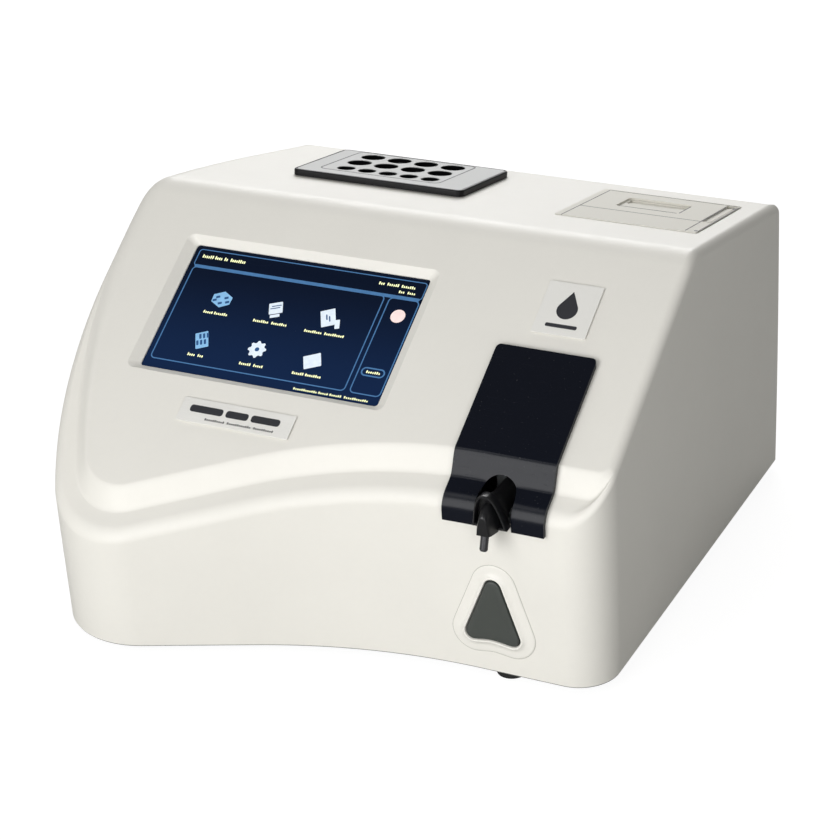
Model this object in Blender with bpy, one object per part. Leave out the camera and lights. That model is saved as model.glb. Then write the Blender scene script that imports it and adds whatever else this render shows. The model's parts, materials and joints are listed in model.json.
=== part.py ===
"""Benchtop chemistry analyzer: a moulded sloping case with its screen, sampler, incubator, printer and inner works.

The case is laid out with x to the right, y to the rear and z up from the skirt's lower edge.
Three tilted frames carry what is fixed to the slope, to the roof and to the upright front.
"""

import math

import bmesh
import bpy
from mathutils import Matrix, Vector

# Fits
GAP = 0.0003
SLIDE_GAP = 0.0004
LEAST_RADIUS = 0.0004

# Case: plan of the skirt
WALL = 0.003
RIGHT_X = 0.168
LEFT_X = -0.191
FRONT_Y = -0.0055
REAR_Y = 0.279
FRONT_BEND_X = 0.0266
NOSE_X = -0.1325
NOSE_Y = -0.0716
CHEEK_Y = 0.0025
FLANK_Y = 0.100
REAR_LEFT_X = -0.172
FRONT_RIGHT_RADIUS = 0.024
REAR_RIGHT_RADIUS = 0.011
REAR_LEFT_RADIUS = 0.034
FLANK_RADIUS = 0.700
CHEEK_RADIUS = 0.140
NOSE_RADIUS = 0.054
FRONT_BEND_RADIUS = 0.347
BARREL = 0.004

# Case: roof, slope and the step above the skirt
CREASE_Y = 0.140
CREASE_Z = 0.203
SLOPE_ANGLE = math.radians(31.27)
ROOF_ANGLE = math.radians(10.65)
CREASE_BLEND = 0.009
STEP_DROP = 0.010
STEP_WIDTH = 0.0085
SHELF_WIDTH = 0.0125
SKIRT_EDGE_RADIUS = 0.006
LEFT_EDGE_RADIUS = 0.024
RIGHT_EDGE_RADIUS = 0.010
REAR_EDGE_RADIUS = 0.016
EDGE_RINGS = 5
STEP_RINGS = 6
CREASE_STRIPS = 5
WALL_BANDS = 4

# Case: openings
COLLAR_WIDTH = 0.180
COLLAR_HEIGHT = 0.110
COLLAR_TOP = 0.002
BAY_WIDTH = 0.046
BAY_FLOOR_Z = 0.0955
BAY_REAR_Y = 0.062
REAR_WINDOW_WIDTH = 0.250
REAR_WINDOW_HEIGHT = 0.096
REAR_WINDOW_LOW = 0.018
REAR_WINDOW_X = 0.000
REAR_WINDOW_RADIUS = 0.004

# Screen
SCREEN_X = -0.0590
SCREEN_S = 0.0849
SCREEN_WIDTH = 0.156
SCREEN_HEIGHT = 0.088
SCREEN_DEPTH = 0.005
SCREEN_LIP = 0.0008
SCREEN_BEVEL_SIDE = 0.0062
SCREEN_BEVEL_END = 0.0045
SCREEN_CORNER = 0.0022
GLASS_MARGIN = 0.004
GLASS_THICKNESS = 0.0018
LCD_MARGIN = 0.003
LCD_THICKNESS = 0.006
BRACKET_SHEET = 0.0015
BRACKET_WIDTH = 0.030

# Bare plates on the slope
MODEL_X = -0.0591
MODEL_S = 0.1545
MODEL_WIDTH = 0.073
MODEL_HEIGHT = 0.0155
EMBLEM_X = 0.1084
EMBLEM_S = 0.0499
EMBLEM_WIDTH = 0.0328
EMBLEM_HEIGHT = 0.0350
PLATE_THICKNESS = 0.0008
PLATE_CORNER = 0.0008

# Flow cell cover
COVER_X = 0.1069
COVER_WIDTH = 0.0590
COVER_THICKNESS = 0.0026
COVER_TOP_Y = 0.0730
COVER_LIP_Z = 0.0937
COVER_CORNER = 0.0045
NOTCH_WIDTH = 0.0192
NOTCH_TOP_Z = 0.1270
NOTCH_REAR_Y = 0.0130
PEG_RADIUS = 0.0022
PEG_LENGTH = 0.0075
PEG_Y = 0.0560
PEG_SPREAD = 0.0170

# Aspirator
HOOD_WIDTH = 0.0182
HOOD_TOP_Z = 0.1186
HOOD_LOW_Z = 0.0960
HOOD_FRONT_Y = -0.0125
HOOD_REAR_Y = 0.0247
HOOD_EDGE = 0.0016
CORE_WIDTH = 0.0092
CORE_TOP_Z = 0.1125
CORE_FRONT_Y = -0.0195
CORE_TAPER_SHARE = 0.62
TUBE_RADIUS = 0.0015
TUBE_BORE = 0.0008
TUBE_Y = -0.0150
TUBE_TOP_Z = 0.1060
TUBE_LOW_Z = 0.0860

# Start key
KEY_X = 0.1027
KEY_Z = 0.0380
KEY_HALF_WIDTH = 0.0190
KEY_APEX = 0.0305
KEY_FOOT = 0.0198
KEY_ARCH = 0.0172
KEY_APEX_RADIUS = 0.0060
KEY_FOOT_RADIUS = 0.0045
KEY_ARCH_RADIUS = 0.0300
KEY_HEIGHT = 0.0030
KEY_ROUND = 0.0014
KEY_BACK = 0.0060
KEY_TRAVEL = 0.0025
BEZEL_WIDTH = 0.0085
BEZEL_HEIGHT = 0.0020
BEZEL_SLEEVE = 0.0016
BEZEL_DEPTH = 0.0140
SWITCH_BOARD = 0.0016
SWITCH_SIZE = 0.0062
STALK_RADIUS = 0.0030
SWITCH_PLAY = 0.0003

# Incubator
INCUBATOR_X = -0.0588
INCUBATOR_T = 0.0863
INCUBATOR_WIDTH = 0.1125
INCUBATOR_DEPTH = 0.0705
INCUBATOR_HEIGHT = 0.0042
INCUBATOR_CORNER = 0.0045
INCUBATOR_ROUND = 0.0012
INCUBATOR_OPENING_MARGIN = 0.0028
FACE_MARGIN = 0.0016
FACE_THICKNESS = 0.0005
COLLAR_DEPTH = 0.0036
COLLAR_PLAY = 0.0004
BLOCK_MARGIN = 0.0036
BLOCK_LOW_Z = 0.1480
HEATER_THICKNESS = 0.0030
WELL_RADIUS = 0.0073
SMALL_WELL_RADIUS = 0.0054
WELL_FLOOR = 0.0040
WELL_PITCH = 0.0187
SMALL_WELL_PITCH = 0.0145
WELL_FIRST_X = -0.0895
SMALL_WELL_FIRST_X = -0.0891
REAR_WELLS_T = 0.1080
MIDDLE_WELLS_T = 0.0892
FRONT_WELLS_T = 0.0706
WELL_HOLE_EXTRA = 0.0002

# Printer
PRINTER_X = 0.1085
PRINTER_T = 0.0815
PRINTER_WIDTH = 0.0890
PRINTER_DEPTH = 0.0790
PRINTER_PROUD = 0.0006
PRINTER_CORNER = 0.0015
PRINTER_CASE_DEPTH = 0.0460
PRINTER_CASE_WALL = 0.0022
STRIP_DEPTH = 0.0285
DOOR_X = 0.1067
DOOR_WIDTH = 0.0760
DOOR_THICKNESS = 0.0024
DOOR_REAR_MARGIN = 0.0025
DOOR_REST_WIDTH = 0.0020
DOOR_PIN_RADIUS = 0.0010
DOOR_BARREL_RADIUS = 0.0024
DOOR_PIN_X = 0.1489
DOOR_PIN_DROP = 0.0022
DOOR_NECK = 0.0042
GRIP_WIDTH = 0.0400
GRIP_DEPTH = 0.0240
GRIP_T = 0.0945
GRIP_SINK = 0.0012
GRIP_SLOT = 0.0090
GRIP_CORNER = 0.0015
ROLL_RADIUS = 0.0175
ROLL_CORE_RADIUS = 0.0065
ROLL_WIDTH = 0.0570
ROLL_T = 0.0960
PLATEN_RADIUS = 0.0050
PLATEN_SHAFT_RADIUS = 0.0020
PLATEN_WIDTH = 0.0580
PLATEN_SHAFT_LENGTH = 0.0700
PLATEN_T = 0.0765
PLATEN_DROP = 0.0095
HEAD_DEPTH = 0.0050
HEAD_HEIGHT = 0.0120

# Base and feet
BASE_SHEET = 0.0020
BASE_LOW = 0.0020
FOOT_HEIGHT = 0.0060
FOOT_RADIUS = 0.0078
FOOT_TAPER = 0.0012
FOOT_ROUND = 0.0010
FRONT_FOOT_X = 0.1092
FRONT_FOOT_Y = 0.0062
FRONT_LEFT_FOOT_X = -0.1250
FRONT_LEFT_FOOT_Y = -0.0150
REAR_FOOT_X = 0.1400
REAR_LEFT_FOOT_X = -0.1450
REAR_FOOT_Y = 0.2450
VENT_LENGTH = 0.0500
VENT_WIDTH = 0.0035
VENT_PITCH = 0.0085
VENT_COUNT = 5
VENT_X = -0.0700
VENT_Y = 0.1100

# Rear panel and what it carries
PANEL_SHEET = 0.0015
PANEL_MARGIN = 0.0100
SCREW_X = 0.1190
SCREW_Z_LOW = 0.0260
SCREW_Z_HIGH = 0.1060
SCREW_HEAD_RADIUS = 0.0030
SCREW_HEAD_HEIGHT = 0.0018
SCREW_RADIUS = 0.0015
SCREW_LENGTH = 0.0060
SCREW_SLOT = 0.0008
FAN_X = -0.0720
FAN_Z = 0.0660
FAN_SIZE = 0.0600
FAN_THICKNESS = 0.0150
FAN_BORE_RADIUS = 0.0275
FAN_CORNER = 0.0040
HUB_RADIUS = 0.0110
ROTOR_RADIUS = 0.0262
ROTOR_PLAY = 0.0012
BLADE_COUNT = 7
BLADE_THICKNESS = 0.0012
BLADE_PITCH_ANGLE = math.radians(42)
BLADE_ROOT = 0.0015
MOTOR_WEB = 0.0020
STRUT_WIDTH = 0.0040
FAN_SLOT_WIDTH = 0.0040
FAN_SLOT_PITCH = 0.0070
FAN_SLOT_COUNT = 7
INLET_X = 0.0880
INLET_Z = 0.0450
INLET_WIDTH = 0.0270
INLET_HEIGHT = 0.0200
INLET_FLANGE = 0.0040
INLET_FLANGE_THICKNESS = 0.0024
INLET_DEPTH = 0.0240
INLET_WALL = 0.0022
INLET_CORNER = 0.0030
BLADE_PIN_WIDTH = 0.0020
BLADE_PIN_HEIGHT = 0.0040
BLADE_PIN_LENGTH = 0.0150
BLADE_PIN_SPREAD = 0.0070
SWITCH_X = 0.0880
SWITCH_Z = 0.0850
ROCKER_WIDTH = 0.0100
ROCKER_HEIGHT = 0.0180
ROCKER_DEPTH = 0.0080
ROCKER_RISE = 0.0024
ROCKER_ANGLE = math.radians(8)
ROCKER_PLAY = 0.0006
ROCKER_FRAME_WALL = 0.0022
ROCKER_FRAME_FLANGE = 0.0020
ROCKER_FRAME_DEPTH = 0.0150
SERIAL_X = 0.0300
SERIAL_Z = 0.0850
SERIAL_WIDTH = 0.0170
SERIAL_HEIGHT = 0.0085
SERIAL_TAPER = 0.0010
SERIAL_FLANGE_WIDTH = 0.0300
SERIAL_FLANGE_HEIGHT = 0.0120
SERIAL_SHELL = 0.0050
SERIAL_CORNER = 0.0018
SERIAL_BODY = 0.0080
SERIAL_SKIN = 0.0010
USB_X = 0.0300
USB_Z = 0.0550
USB_WIDTH = 0.0120
USB_HEIGHT = 0.0110
USB_DEPTH = 0.0160
USB_WALL = 0.0012
USB_TONGUE = 0.0040
WASTE_X = -0.0150
WASTE_Z = 0.0400
WASTE_RADIUS = 0.0035
WASTE_FLANGE_RADIUS = 0.0070
WASTE_FLANGE = 0.0030
WASTE_BORE = 0.0016
WASTE_NECK = 0.0120
WASTE_BARB = 0.0010
WASTE_REACH = 0.0080

# Optics
BENCH_X = 0.0870
BENCH_Y = 0.0500
BENCH_WIDTH = 0.1350
BENCH_DEPTH = 0.0480
BENCH_HEIGHT = 0.0560
BENCH_WALL = 0.0060
BENCH_TOP = 0.0060
LENS_Z = 0.0280
CELL_WIDTH = 0.0260
CELL_DEPTH = 0.0260
CELL_HEIGHT = 0.0560
CELL_WINDOW_RADIUS = 0.0030
CELL_X = 0.1070
CELL_CORNER = 0.0015
LAMP_HOLDER_X = 0.1430
LAMP_HOLDER_WIDTH = 0.0180
LAMP_HOLDER_DEPTH = 0.0300
LAMP_HOLDER_HEIGHT = 0.0200
LAMP_CAP_RADIUS = 0.0050
LAMP_BULB_RADIUS = 0.0058
LAMP_CAP_HEIGHT = 0.0080
LAMP_BULB_HEIGHT = 0.0140
LAMP_SOCKET_DEPTH = 0.0060
WHEEL_X = 0.0800
WHEEL_RADIUS = 0.0230
WHEEL_THICKNESS = 0.0040
WHEEL_HOLE_RADIUS = 0.0045
WHEEL_HOLE_CIRCLE = 0.0160
WHEEL_HOLES = 8
WHEEL_LIFT = 0.0260
SHAFT_RADIUS = 0.0025
SHAFT_PLAY = 0.00005
MOTOR_SIZE = 0.0350
MOTOR_LENGTH = 0.0220
MOTOR_CORNER = 0.0040
MOTOR_X = 0.0620
DETECTOR_X = 0.0270
DETECTOR_WIDTH = 0.0016
DETECTOR_DEPTH = 0.0360
DETECTOR_HEIGHT = 0.0400
DETECTOR_CAN_RADIUS = 0.0046
DETECTOR_CAN_LENGTH = 0.0050

# Pump
PUMP_X = -0.0500
PUMP_Y = 0.0250
PUMP_SIZE = 0.0460
PUMP_THICKNESS = 0.0220
PUMP_STAND = 0.0180
PUMP_POCKET_RADIUS = 0.0190
PUMP_POCKET_DEPTH = 0.0130
PUMP_CORNER = 0.0040
PUMP_HUB_RADIUS = 0.0060
PUMP_ARM_RADIUS = 0.0120
PUMP_ROLLER_RADIUS = 0.0040
PUMP_ROLLERS = 3
PUMP_ROTOR_HEIGHT = 0.0100
PUMP_MOTOR_RADIUS = 0.0160
PUMP_MOTOR_LENGTH = 0.0300

# Electronics
BOARD_X = -0.0800
BOARD_Y = 0.1900
BOARD_WIDTH = 0.1300
BOARD_DEPTH = 0.0950
BOARD_THICKNESS = 0.0016
BOARD_LIFT = 0.0080
STANDOFF_RADIUS = 0.0030
STANDOFF_INSET = 0.0060
CHIP_SIZE = 0.0200
CHIP_HEIGHT = 0.0030
PLUG_WIDTH = 0.0300
PLUG_DEPTH = 0.0080
PLUG_HEIGHT = 0.0100
CHIP_X = -0.0200
PLUG_Y = 0.0340
SUPPLY_X = 0.0700
SUPPLY_Y = 0.1650
SUPPLY_WIDTH = 0.1100
SUPPLY_DEPTH = 0.0650
SUPPLY_HEIGHT = 0.0360
SUPPLY_CORNER = 0.0020
SUPPLY_SLOT_WIDTH = 0.0030
SUPPLY_SLOT_LENGTH = 0.0400
SUPPLY_SLOT_PITCH = 0.0090
SUPPLY_SLOTS = 7
SUPPLY_SLOT_DEPTH = 0.0040

# Shapes that only cut reach this far past what they cut
PAST = 0.004
TALL = 0.250


def clear_scene():
    for thing in list(bpy.data.objects):
        bpy.data.objects.remove(thing, do_unlink=True)


def look(name, colour, roughness, metallic=0.0, alpha=1.0):
    made = bpy.data.materials.new(name)
    made.use_nodes = True
    shader = made.node_tree.nodes["Principled BSDF"]
    shader.inputs["Base Color"].default_value = (*colour, 1.0)
    shader.inputs["Roughness"].default_value = roughness
    shader.inputs["Metallic"].default_value = metallic
    shader.inputs["Alpha"].default_value = alpha
    made.diffuse_color = (*colour, alpha)
    return made


def frame(name, parent, at, tilt=0.0):
    made = bpy.data.objects.new(name, None)
    bpy.context.scene.collection.objects.link(made)
    made.parent = parent
    made.location = at
    made.rotation_euler = (tilt, 0.0, 0.0)
    return made


def add(name, bm, material, parent, at=(0.0, 0.0, 0.0), turn=(0.0, 0.0, 0.0), smooth=True):
    bmesh.ops.recalc_face_normals(bm, faces=bm.faces)
    mesh = bpy.data.meshes.new(name)
    bm.to_mesh(mesh)
    bm.free()
    made = bpy.data.objects.new(name, mesh)
    bpy.context.scene.collection.objects.link(made)
    made.parent = parent
    made.location = at
    made.rotation_euler = turn
    if material is None:
        made.hide_render = True
        made.display_type = "WIRE"
        return made
    mesh.materials.append(material)
    if smooth:
        mesh.shade_smooth()
        mesh.set_sharp_from_angle(angle=math.radians(32))
    return made


def boolean(target, tool, operation):
    step = target.modifiers.new(f"{operation.lower()}_{tool.name}", "BOOLEAN")
    step.operation = operation
    step.solver = "EXACT"
    step.object = tool


def cut(target, *tools):
    for tool in tools:
        boolean(target, tool, "DIFFERENCE")


def fuse(target, *tools):
    for tool in tools:
        boolean(target, tool, "UNION")


def loft(rings, closed=False, bm=None):
    """A solid through rings with equal counts of points; a closed one joins its last ring to its first."""
    bm = bm or bmesh.new()
    rows = [[bm.verts.new(point) for point in ring] for ring in rings]
    pairs = list(zip(rows, rows[1:]))
    if closed:
        pairs.append((rows[-1], rows[0]))
    for low, high in pairs:
        for i in range(len(low)):
            j = (i + 1) % len(low)
            bm.faces.new((low[i], low[j], high[j], high[i]))
    if not closed:
        bm.faces.new(list(reversed(rows[0])))
        bm.faces.new(rows[-1])
    return bm


def outline(corners, inset=0.0, steps=6, insets=None):
    """The rounded polygon of (x, y, radius) corners, counter-clockwise, moved inwards edge by edge."""
    count = len(corners)
    places = [Vector(corner[:2]) for corner in corners]
    along = [(places[(i + 1) % count] - places[i]).normalized() for i in range(count)]
    inward = [Vector((-way.y, way.x)) for way in along]
    moves = insets or [inset] * count
    points = []
    for i, (x, y, radius) in enumerate(corners):
        before = along[i - 1]
        after = along[i]
        turn = math.atan2(before.cross(after), before.dot(after))
        first = places[i] + inward[i - 1] * moves[i - 1]
        second = places[i] + inward[i] * moves[i]
        corner = first + before * ((second - first).cross(after) / before.cross(after))
        side = math.copysign(1.0, turn)
        rounding = max(radius - side * max(moves[i - 1], moves[i]), LEAST_RADIUS)
        start = corner - before * rounding * math.tan(abs(turn) / 2)
        centre = start + inward[i - 1] * rounding * side
        spoke = start - centre
        for k in range(steps + 1):
            points.append(centre + Matrix.Rotation(turn * k / steps, 2) @ spoke)
    return points


def level(points, height):
    return [(point[0], point[1], height) for point in points]


def prism(points, low, high):
    return loft([level(points, low), level(points, high)])


def rectangle(width, depth, radius=0.0, x=0.0, y=0.0):
    left = x - width / 2
    right = x + width / 2
    front = y - depth / 2
    rear = y + depth / 2
    return ((left, front, radius), (right, front, radius), (right, rear, radius), (left, rear, radius))


def slab(width, depth, low, high, radius=0.0, x=0.0, y=0.0, steps=3):
    corners = rectangle(width, depth, radius, x, y)
    points = outline(corners, steps=steps) if radius else corners
    return prism(points, low, high)


def circle(radius, steps, x=0.0, y=0.0):
    return [
        (x + radius * math.cos(math.tau * k / steps), y + radius * math.sin(math.tau * k / steps))
        for k in range(steps)
    ]


def turned(profile, steps, closed=False, x=0.0, y=0.0):
    """A round solid about z from (radius, height) pairs."""
    return loft([level(circle(radius, steps, x, y), height) for radius, height in profile], closed)


def drills(places, low, high, steps):
    """Upright drills of (x, y, radius) places, as one cutter."""
    bm = bmesh.new()
    for x, y, radius in places:
        points = circle(radius, steps, x, y)
        loft([level(points, low), level(points, high)], bm=bm)
    return bm


def slots(places, width, depth, low, high):
    """Upright slots at (x, y) places, as one cutter."""
    bm = bmesh.new()
    for x, y in places:
        points = [corner[:2] for corner in rectangle(width, depth, 0.0, x, y)]
        loft([level(points, low), level(points, high)], bm=bm)
    return bm


def spaced(count, pitch):
    return [pitch * (k - (count - 1) / 2) for k in range(count)]


def roof_z(y):
    """Height of the slope, the rounded crease and the roof above a point of the plan."""
    rise = math.tan(SLOPE_ANGLE)
    fall = math.tan(ROOF_ANGLE)
    past = y - CREASE_Y
    if past <= -CREASE_BLEND:
        return CREASE_Z + past * rise
    if past >= CREASE_BLEND:
        return CREASE_Z - past * fall
    start = past + CREASE_BLEND
    return CREASE_Z + past * rise - (rise + fall) * start * start / (4 * CREASE_BLEND)


def round_profile(radius):
    last = EDGE_RINGS + STEP_RINGS - 1
    turns = [math.pi / 2 * k / last for k in range(last + 1)]
    return [(radius * (1 - math.cos(turn)), radius * (1 - math.sin(turn))) for turn in turns]


def step_profile():
    """Inset and drop from the skirt's edge over the shelf and up the step."""
    turns = [math.pi / 2 * k / (EDGE_RINGS - 1) for k in range(EDGE_RINGS)]
    pairs = [
        (SKIRT_EDGE_RADIUS * (1 - math.cos(turn)), STEP_DROP + SKIRT_EDGE_RADIUS * (1 - math.sin(turn)))
        for turn in turns
    ]
    shares = [k / (STEP_RINGS - 1) for k in range(STEP_RINGS)]
    for share in shares:
        drop = STEP_DROP * (1 + math.cos(math.pi * share)) / 2
        pairs.append((SHELF_WIDTH + STEP_WIDTH * share, drop))
    return pairs


PLAN = (
    (RIGHT_X, FRONT_Y, FRONT_RIGHT_RADIUS),
    (RIGHT_X, REAR_Y, REAR_RIGHT_RADIUS),
    (REAR_LEFT_X, REAR_Y, REAR_LEFT_RADIUS),
    (LEFT_X, FLANK_Y, FLANK_RADIUS),
    (LEFT_X, CHEEK_Y, CHEEK_RADIUS),
    (NOSE_X, NOSE_Y, NOSE_RADIUS),
    (FRONT_BEND_X, FRONT_Y, FRONT_BEND_RADIUS),
)


def barrelled(x, y, z):
    """The side walls swell a little at half height."""
    share = z / CREASE_Z
    middle = (RIGHT_X + LEFT_X) / 2
    half = (RIGHT_X - LEFT_X) / 2
    return (x + (x - middle) / half * BARREL * 4 * share * (1 - share), y, z)


def case_skin(grow, steps, floor):
    """The case's closed outer form, grown outwards, from its roof down to a floor."""
    step = step_profile()
    left = round_profile(LEFT_EDGE_RADIUS)
    edges = (round_profile(RIGHT_EDGE_RADIUS), round_profile(REAR_EDGE_RADIUS), left, left, step, step, step)
    lift = grow / math.cos(SLOPE_ANGLE)
    bm = bmesh.new()
    rows = []
    for k in range(len(step)):
        insets = [edge[k][0] - grow for edge in edges]
        points = outline(PLAN, steps=steps, insets=insets)
        row = []
        for i, point in enumerate(points):
            corner = i // (steps + 1)
            share = (i % (steps + 1)) / steps
            ease = share * share * (3 - 2 * share)
            drop = edges[corner - 1][k][1] * (1 - ease) + edges[corner][k][1] * ease
            row.append(bm.verts.new((point.x, point.y, -drop)))
        rows.append(row)
    count = len(rows[0])
    for low, high in zip(rows, rows[1:]):
        for i in range(count):
            j = (i + 1) % count
            bm.faces.new((low[i], low[j], high[j], high[i]))
    bm.faces.new(rows[-1])
    for k in range(CREASE_STRIPS + 1):
        station = CREASE_Y + CREASE_BLEND * (2 * k / CREASE_STRIPS - 1)
        everything = bm.verts[:] + bm.edges[:] + bm.faces[:]
        bmesh.ops.bisect_plane(bm, geom=everything, plane_co=(0, station, 0), plane_no=(0, 1, 0))
    for vert in bm.verts:
        vert.co.z += roof_z(vert.co.y) + lift
    rim = [edge for edge in bm.edges if edge.is_boundary]
    tops = {}
    for band in range(WALL_BANDS):
        made = bmesh.ops.extrude_edge_only(bm, edges=rim)["geom"]
        fresh = [item for item in made if isinstance(item, bmesh.types.BMVert)]
        rim = [item for item in made if isinstance(item, bmesh.types.BMEdge)]
        rim = [edge for edge in rim if edge.is_boundary]
        for vert in fresh:
            key = (round(vert.co.x, 7), round(vert.co.y, 7))
            top = tops.setdefault(key, vert.co.z)
            vert.co.z = top + (floor - top) * (band + 1) / WALL_BANDS
    bmesh.ops.contextual_create(bm, geom=rim)
    for vert in bm.verts:
        vert.co = barrelled(*vert.co)
    bmesh.ops.recalc_face_normals(bm, faces=bm.faces)
    return bm


def key_outline(inset, steps=5):
    corners = (
        (0.0, KEY_APEX, KEY_APEX_RADIUS),
        (-KEY_HALF_WIDTH, -KEY_FOOT, KEY_FOOT_RADIUS),
        (0.0, -KEY_ARCH, KEY_ARCH_RADIUS),
        (KEY_HALF_WIDTH, -KEY_FOOT, KEY_FOOT_RADIUS),
    )
    return outline(corners, inset, steps)


def arch(width, low, high, steps=8):
    """An upright arch: straight sides with a round top, as (x, height) points."""
    radius = width / 2
    points = [(-radius, low), (radius, low)]
    for k in range(steps + 1):
        turn = math.pi * k / steps
        points.append((radius * math.cos(turn), high - radius + radius * math.sin(turn)))
    return points


def make_case(root, slope, roof, front):
    shell = add("housing_shell", case_skin(0.0, 8, 0.0), CREAM, root)
    hollow = add("case_hollow", case_skin(-WALL, 5, -PAST), None, root)
    cut(shell, hollow)
    collar_bm = slab(COLLAR_WIDTH, COLLAR_HEIGHT, -SCREEN_DEPTH, -COLLAR_TOP)
    collar = add("screen_collar", collar_bm, None, slope, (SCREEN_X, -SCREEN_S, 0.0))
    fuse(shell, collar)
    rings = []
    bevel_depth = SCREEN_DEPTH - SCREEN_LIP
    over = PAST / bevel_depth
    wide = SCREEN_WIDTH + 2 * SCREEN_BEVEL_SIDE * (1 + over)
    high = SCREEN_HEIGHT + 2 * SCREEN_BEVEL_END * (1 + over)
    corner = SCREEN_CORNER + SCREEN_BEVEL_END * (1 + over)
    rings.append(level(outline(rectangle(SCREEN_WIDTH, SCREEN_HEIGHT, SCREEN_CORNER), steps=3), -SCREEN_DEPTH - PAST))
    rings.append(level(outline(rectangle(SCREEN_WIDTH, SCREEN_HEIGHT, SCREEN_CORNER), steps=3), -bevel_depth))
    rings.append(level(outline(rectangle(wide, high, corner), steps=3), PAST))
    window = add("screen_window", loft(rings), None, slope, (SCREEN_X, -SCREEN_S, 0.0))
    bay_depth = BAY_REAR_Y - FRONT_Y + PAST
    bay_bm = slab(BAY_WIDTH, bay_depth, BAY_FLOOR_Z, TALL)
    bay = add("flow_bay", bay_bm, None, root, (COVER_X, BAY_REAR_Y - bay_depth / 2, 0.0))
    key_bm = prism(key_outline(-BEZEL_SLEEVE - SLIDE_GAP - GAP), -WALL - PAST, PAST)
    key_hole = add("key_hole", key_bm, None, front, (KEY_X, KEY_Z, 0.0))
    narrow = 2 * INCUBATOR_OPENING_MARGIN
    incubator_bm = slab(INCUBATOR_WIDTH - narrow, INCUBATOR_DEPTH - narrow, -WALL - PAST, PAST)
    incubator_hole = add("incubator_hole", incubator_bm, None, roof, (INCUBATOR_X, INCUBATOR_T, 0.0))
    printer_bm = slab(PRINTER_WIDTH, PRINTER_DEPTH, -WALL - PAST, PAST, PRINTER_CORNER)
    printer_hole = add("printer_hole", printer_bm, None, roof, (PRINTER_X, PRINTER_T, 0.0))
    rear_bm = slab(REAR_WINDOW_WIDTH, REAR_WINDOW_HEIGHT, -WALL - PAST, WALL + PAST, REAR_WINDOW_RADIUS)
    rear_at = (REAR_WINDOW_X, REAR_Y, REAR_WINDOW_LOW + REAR_WINDOW_HEIGHT / 2)
    rear_hole = add("rear_hole", rear_bm, None, root, rear_at, (math.pi / 2, 0.0, 0.0))
    cut(shell, window, bay, key_hole, incubator_hole, printer_hole, rear_hole)
    return shell


def make_screen(slope):
    depth = -SCREEN_DEPTH - GAP
    glass_width = SCREEN_WIDTH + 2 * GLASS_MARGIN
    glass_height = SCREEN_HEIGHT + 2 * GLASS_MARGIN
    at = (SCREEN_X, -SCREEN_S, depth)
    add("touch_glass", slab(glass_width, glass_height, -GLASS_THICKNESS, 0.0), NAVY, slope, at)
    lcd_top = -GLASS_THICKNESS - GAP
    lcd_width = SCREEN_WIDTH + 2 * LCD_MARGIN
    lcd_height = SCREEN_HEIGHT + 2 * LCD_MARGIN
    add("lcd_module", slab(lcd_width, lcd_height, lcd_top - LCD_THICKNESS, lcd_top), STEEL, slope, at)
    strap_top = lcd_top - LCD_THICKNESS - GAP
    strap_length = COLLAR_HEIGHT
    bm = slab(BRACKET_WIDTH, strap_length, strap_top - BRACKET_SHEET, strap_top)
    strap = add("screen_bracket", bm, STEEL, slope, at)
    for side in (-1, 1):
        reach = side * (strap_length - BRACKET_SHEET) / 2
        leg_bm = slab(BRACKET_WIDTH, BRACKET_SHEET, strap_top - BRACKET_SHEET, 0.0, y=reach)
        fuse(strap, add(f"bracket_leg_{side}", leg_bm, None, slope, at))


def make_plates(slope):
    raised = GAP
    model = slab(MODEL_WIDTH, MODEL_HEIGHT, raised, raised + PLATE_THICKNESS, PLATE_CORNER)
    add("model_plate", model, PEARL, slope, (MODEL_X, -MODEL_S, 0.0))
    emblem = slab(EMBLEM_WIDTH, EMBLEM_HEIGHT, raised, raised + PLATE_THICKNESS, PLATE_CORNER)
    add("emblem_plate", emblem, PEARL, slope, (EMBLEM_X, -EMBLEM_S, 0.0))


def make_cover(root, near_skin):
    cover = add("flow_cell_cover", case_skin(GAP + COVER_THICKNESS, 8, 0.0), GLOSS_NAVY, root)
    depth = COVER_TOP_Y - FRONT_Y + 2 * COVER_THICKNESS
    corners = rectangle(COVER_WIDTH, depth, COVER_CORNER)
    front_corners = [(x, y, LEAST_RADIUS) for x, y, radius in corners[:2]]
    points = outline((*front_corners, *corners[2:]), steps=4)
    keep_bm = prism(points, COVER_LIP_Z, TALL)
    keep = add("cover_footprint", keep_bm, None, root, (COVER_X, COVER_TOP_Y - depth / 2, 0.0))
    boolean(cover, keep, "INTERSECT")
    cut(cover, near_skin)
    for side in (-1, 1):
        x = COVER_X + side * PEG_SPREAD
        top = roof_z(PEG_Y) + GAP
        peg_bm = turned([(PEG_RADIUS, top - PEG_LENGTH), (PEG_RADIUS, top + COVER_THICKNESS / 2)], 10)
        fuse(cover, add(f"cover_peg_{side}", peg_bm, None, root, (x, PEG_Y, 0.0)))
    notch_bm = prism(arch(NOTCH_WIDTH, 0.0, NOTCH_TOP_Z), -NOTCH_REAR_Y, PAST - FRONT_Y + 2 * COVER_THICKNESS)
    cut(cover, add("cover_notch", notch_bm, None, root, (COVER_X, 0.0, 0.0), (math.pi / 2, 0.0, 0.0)))


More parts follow.
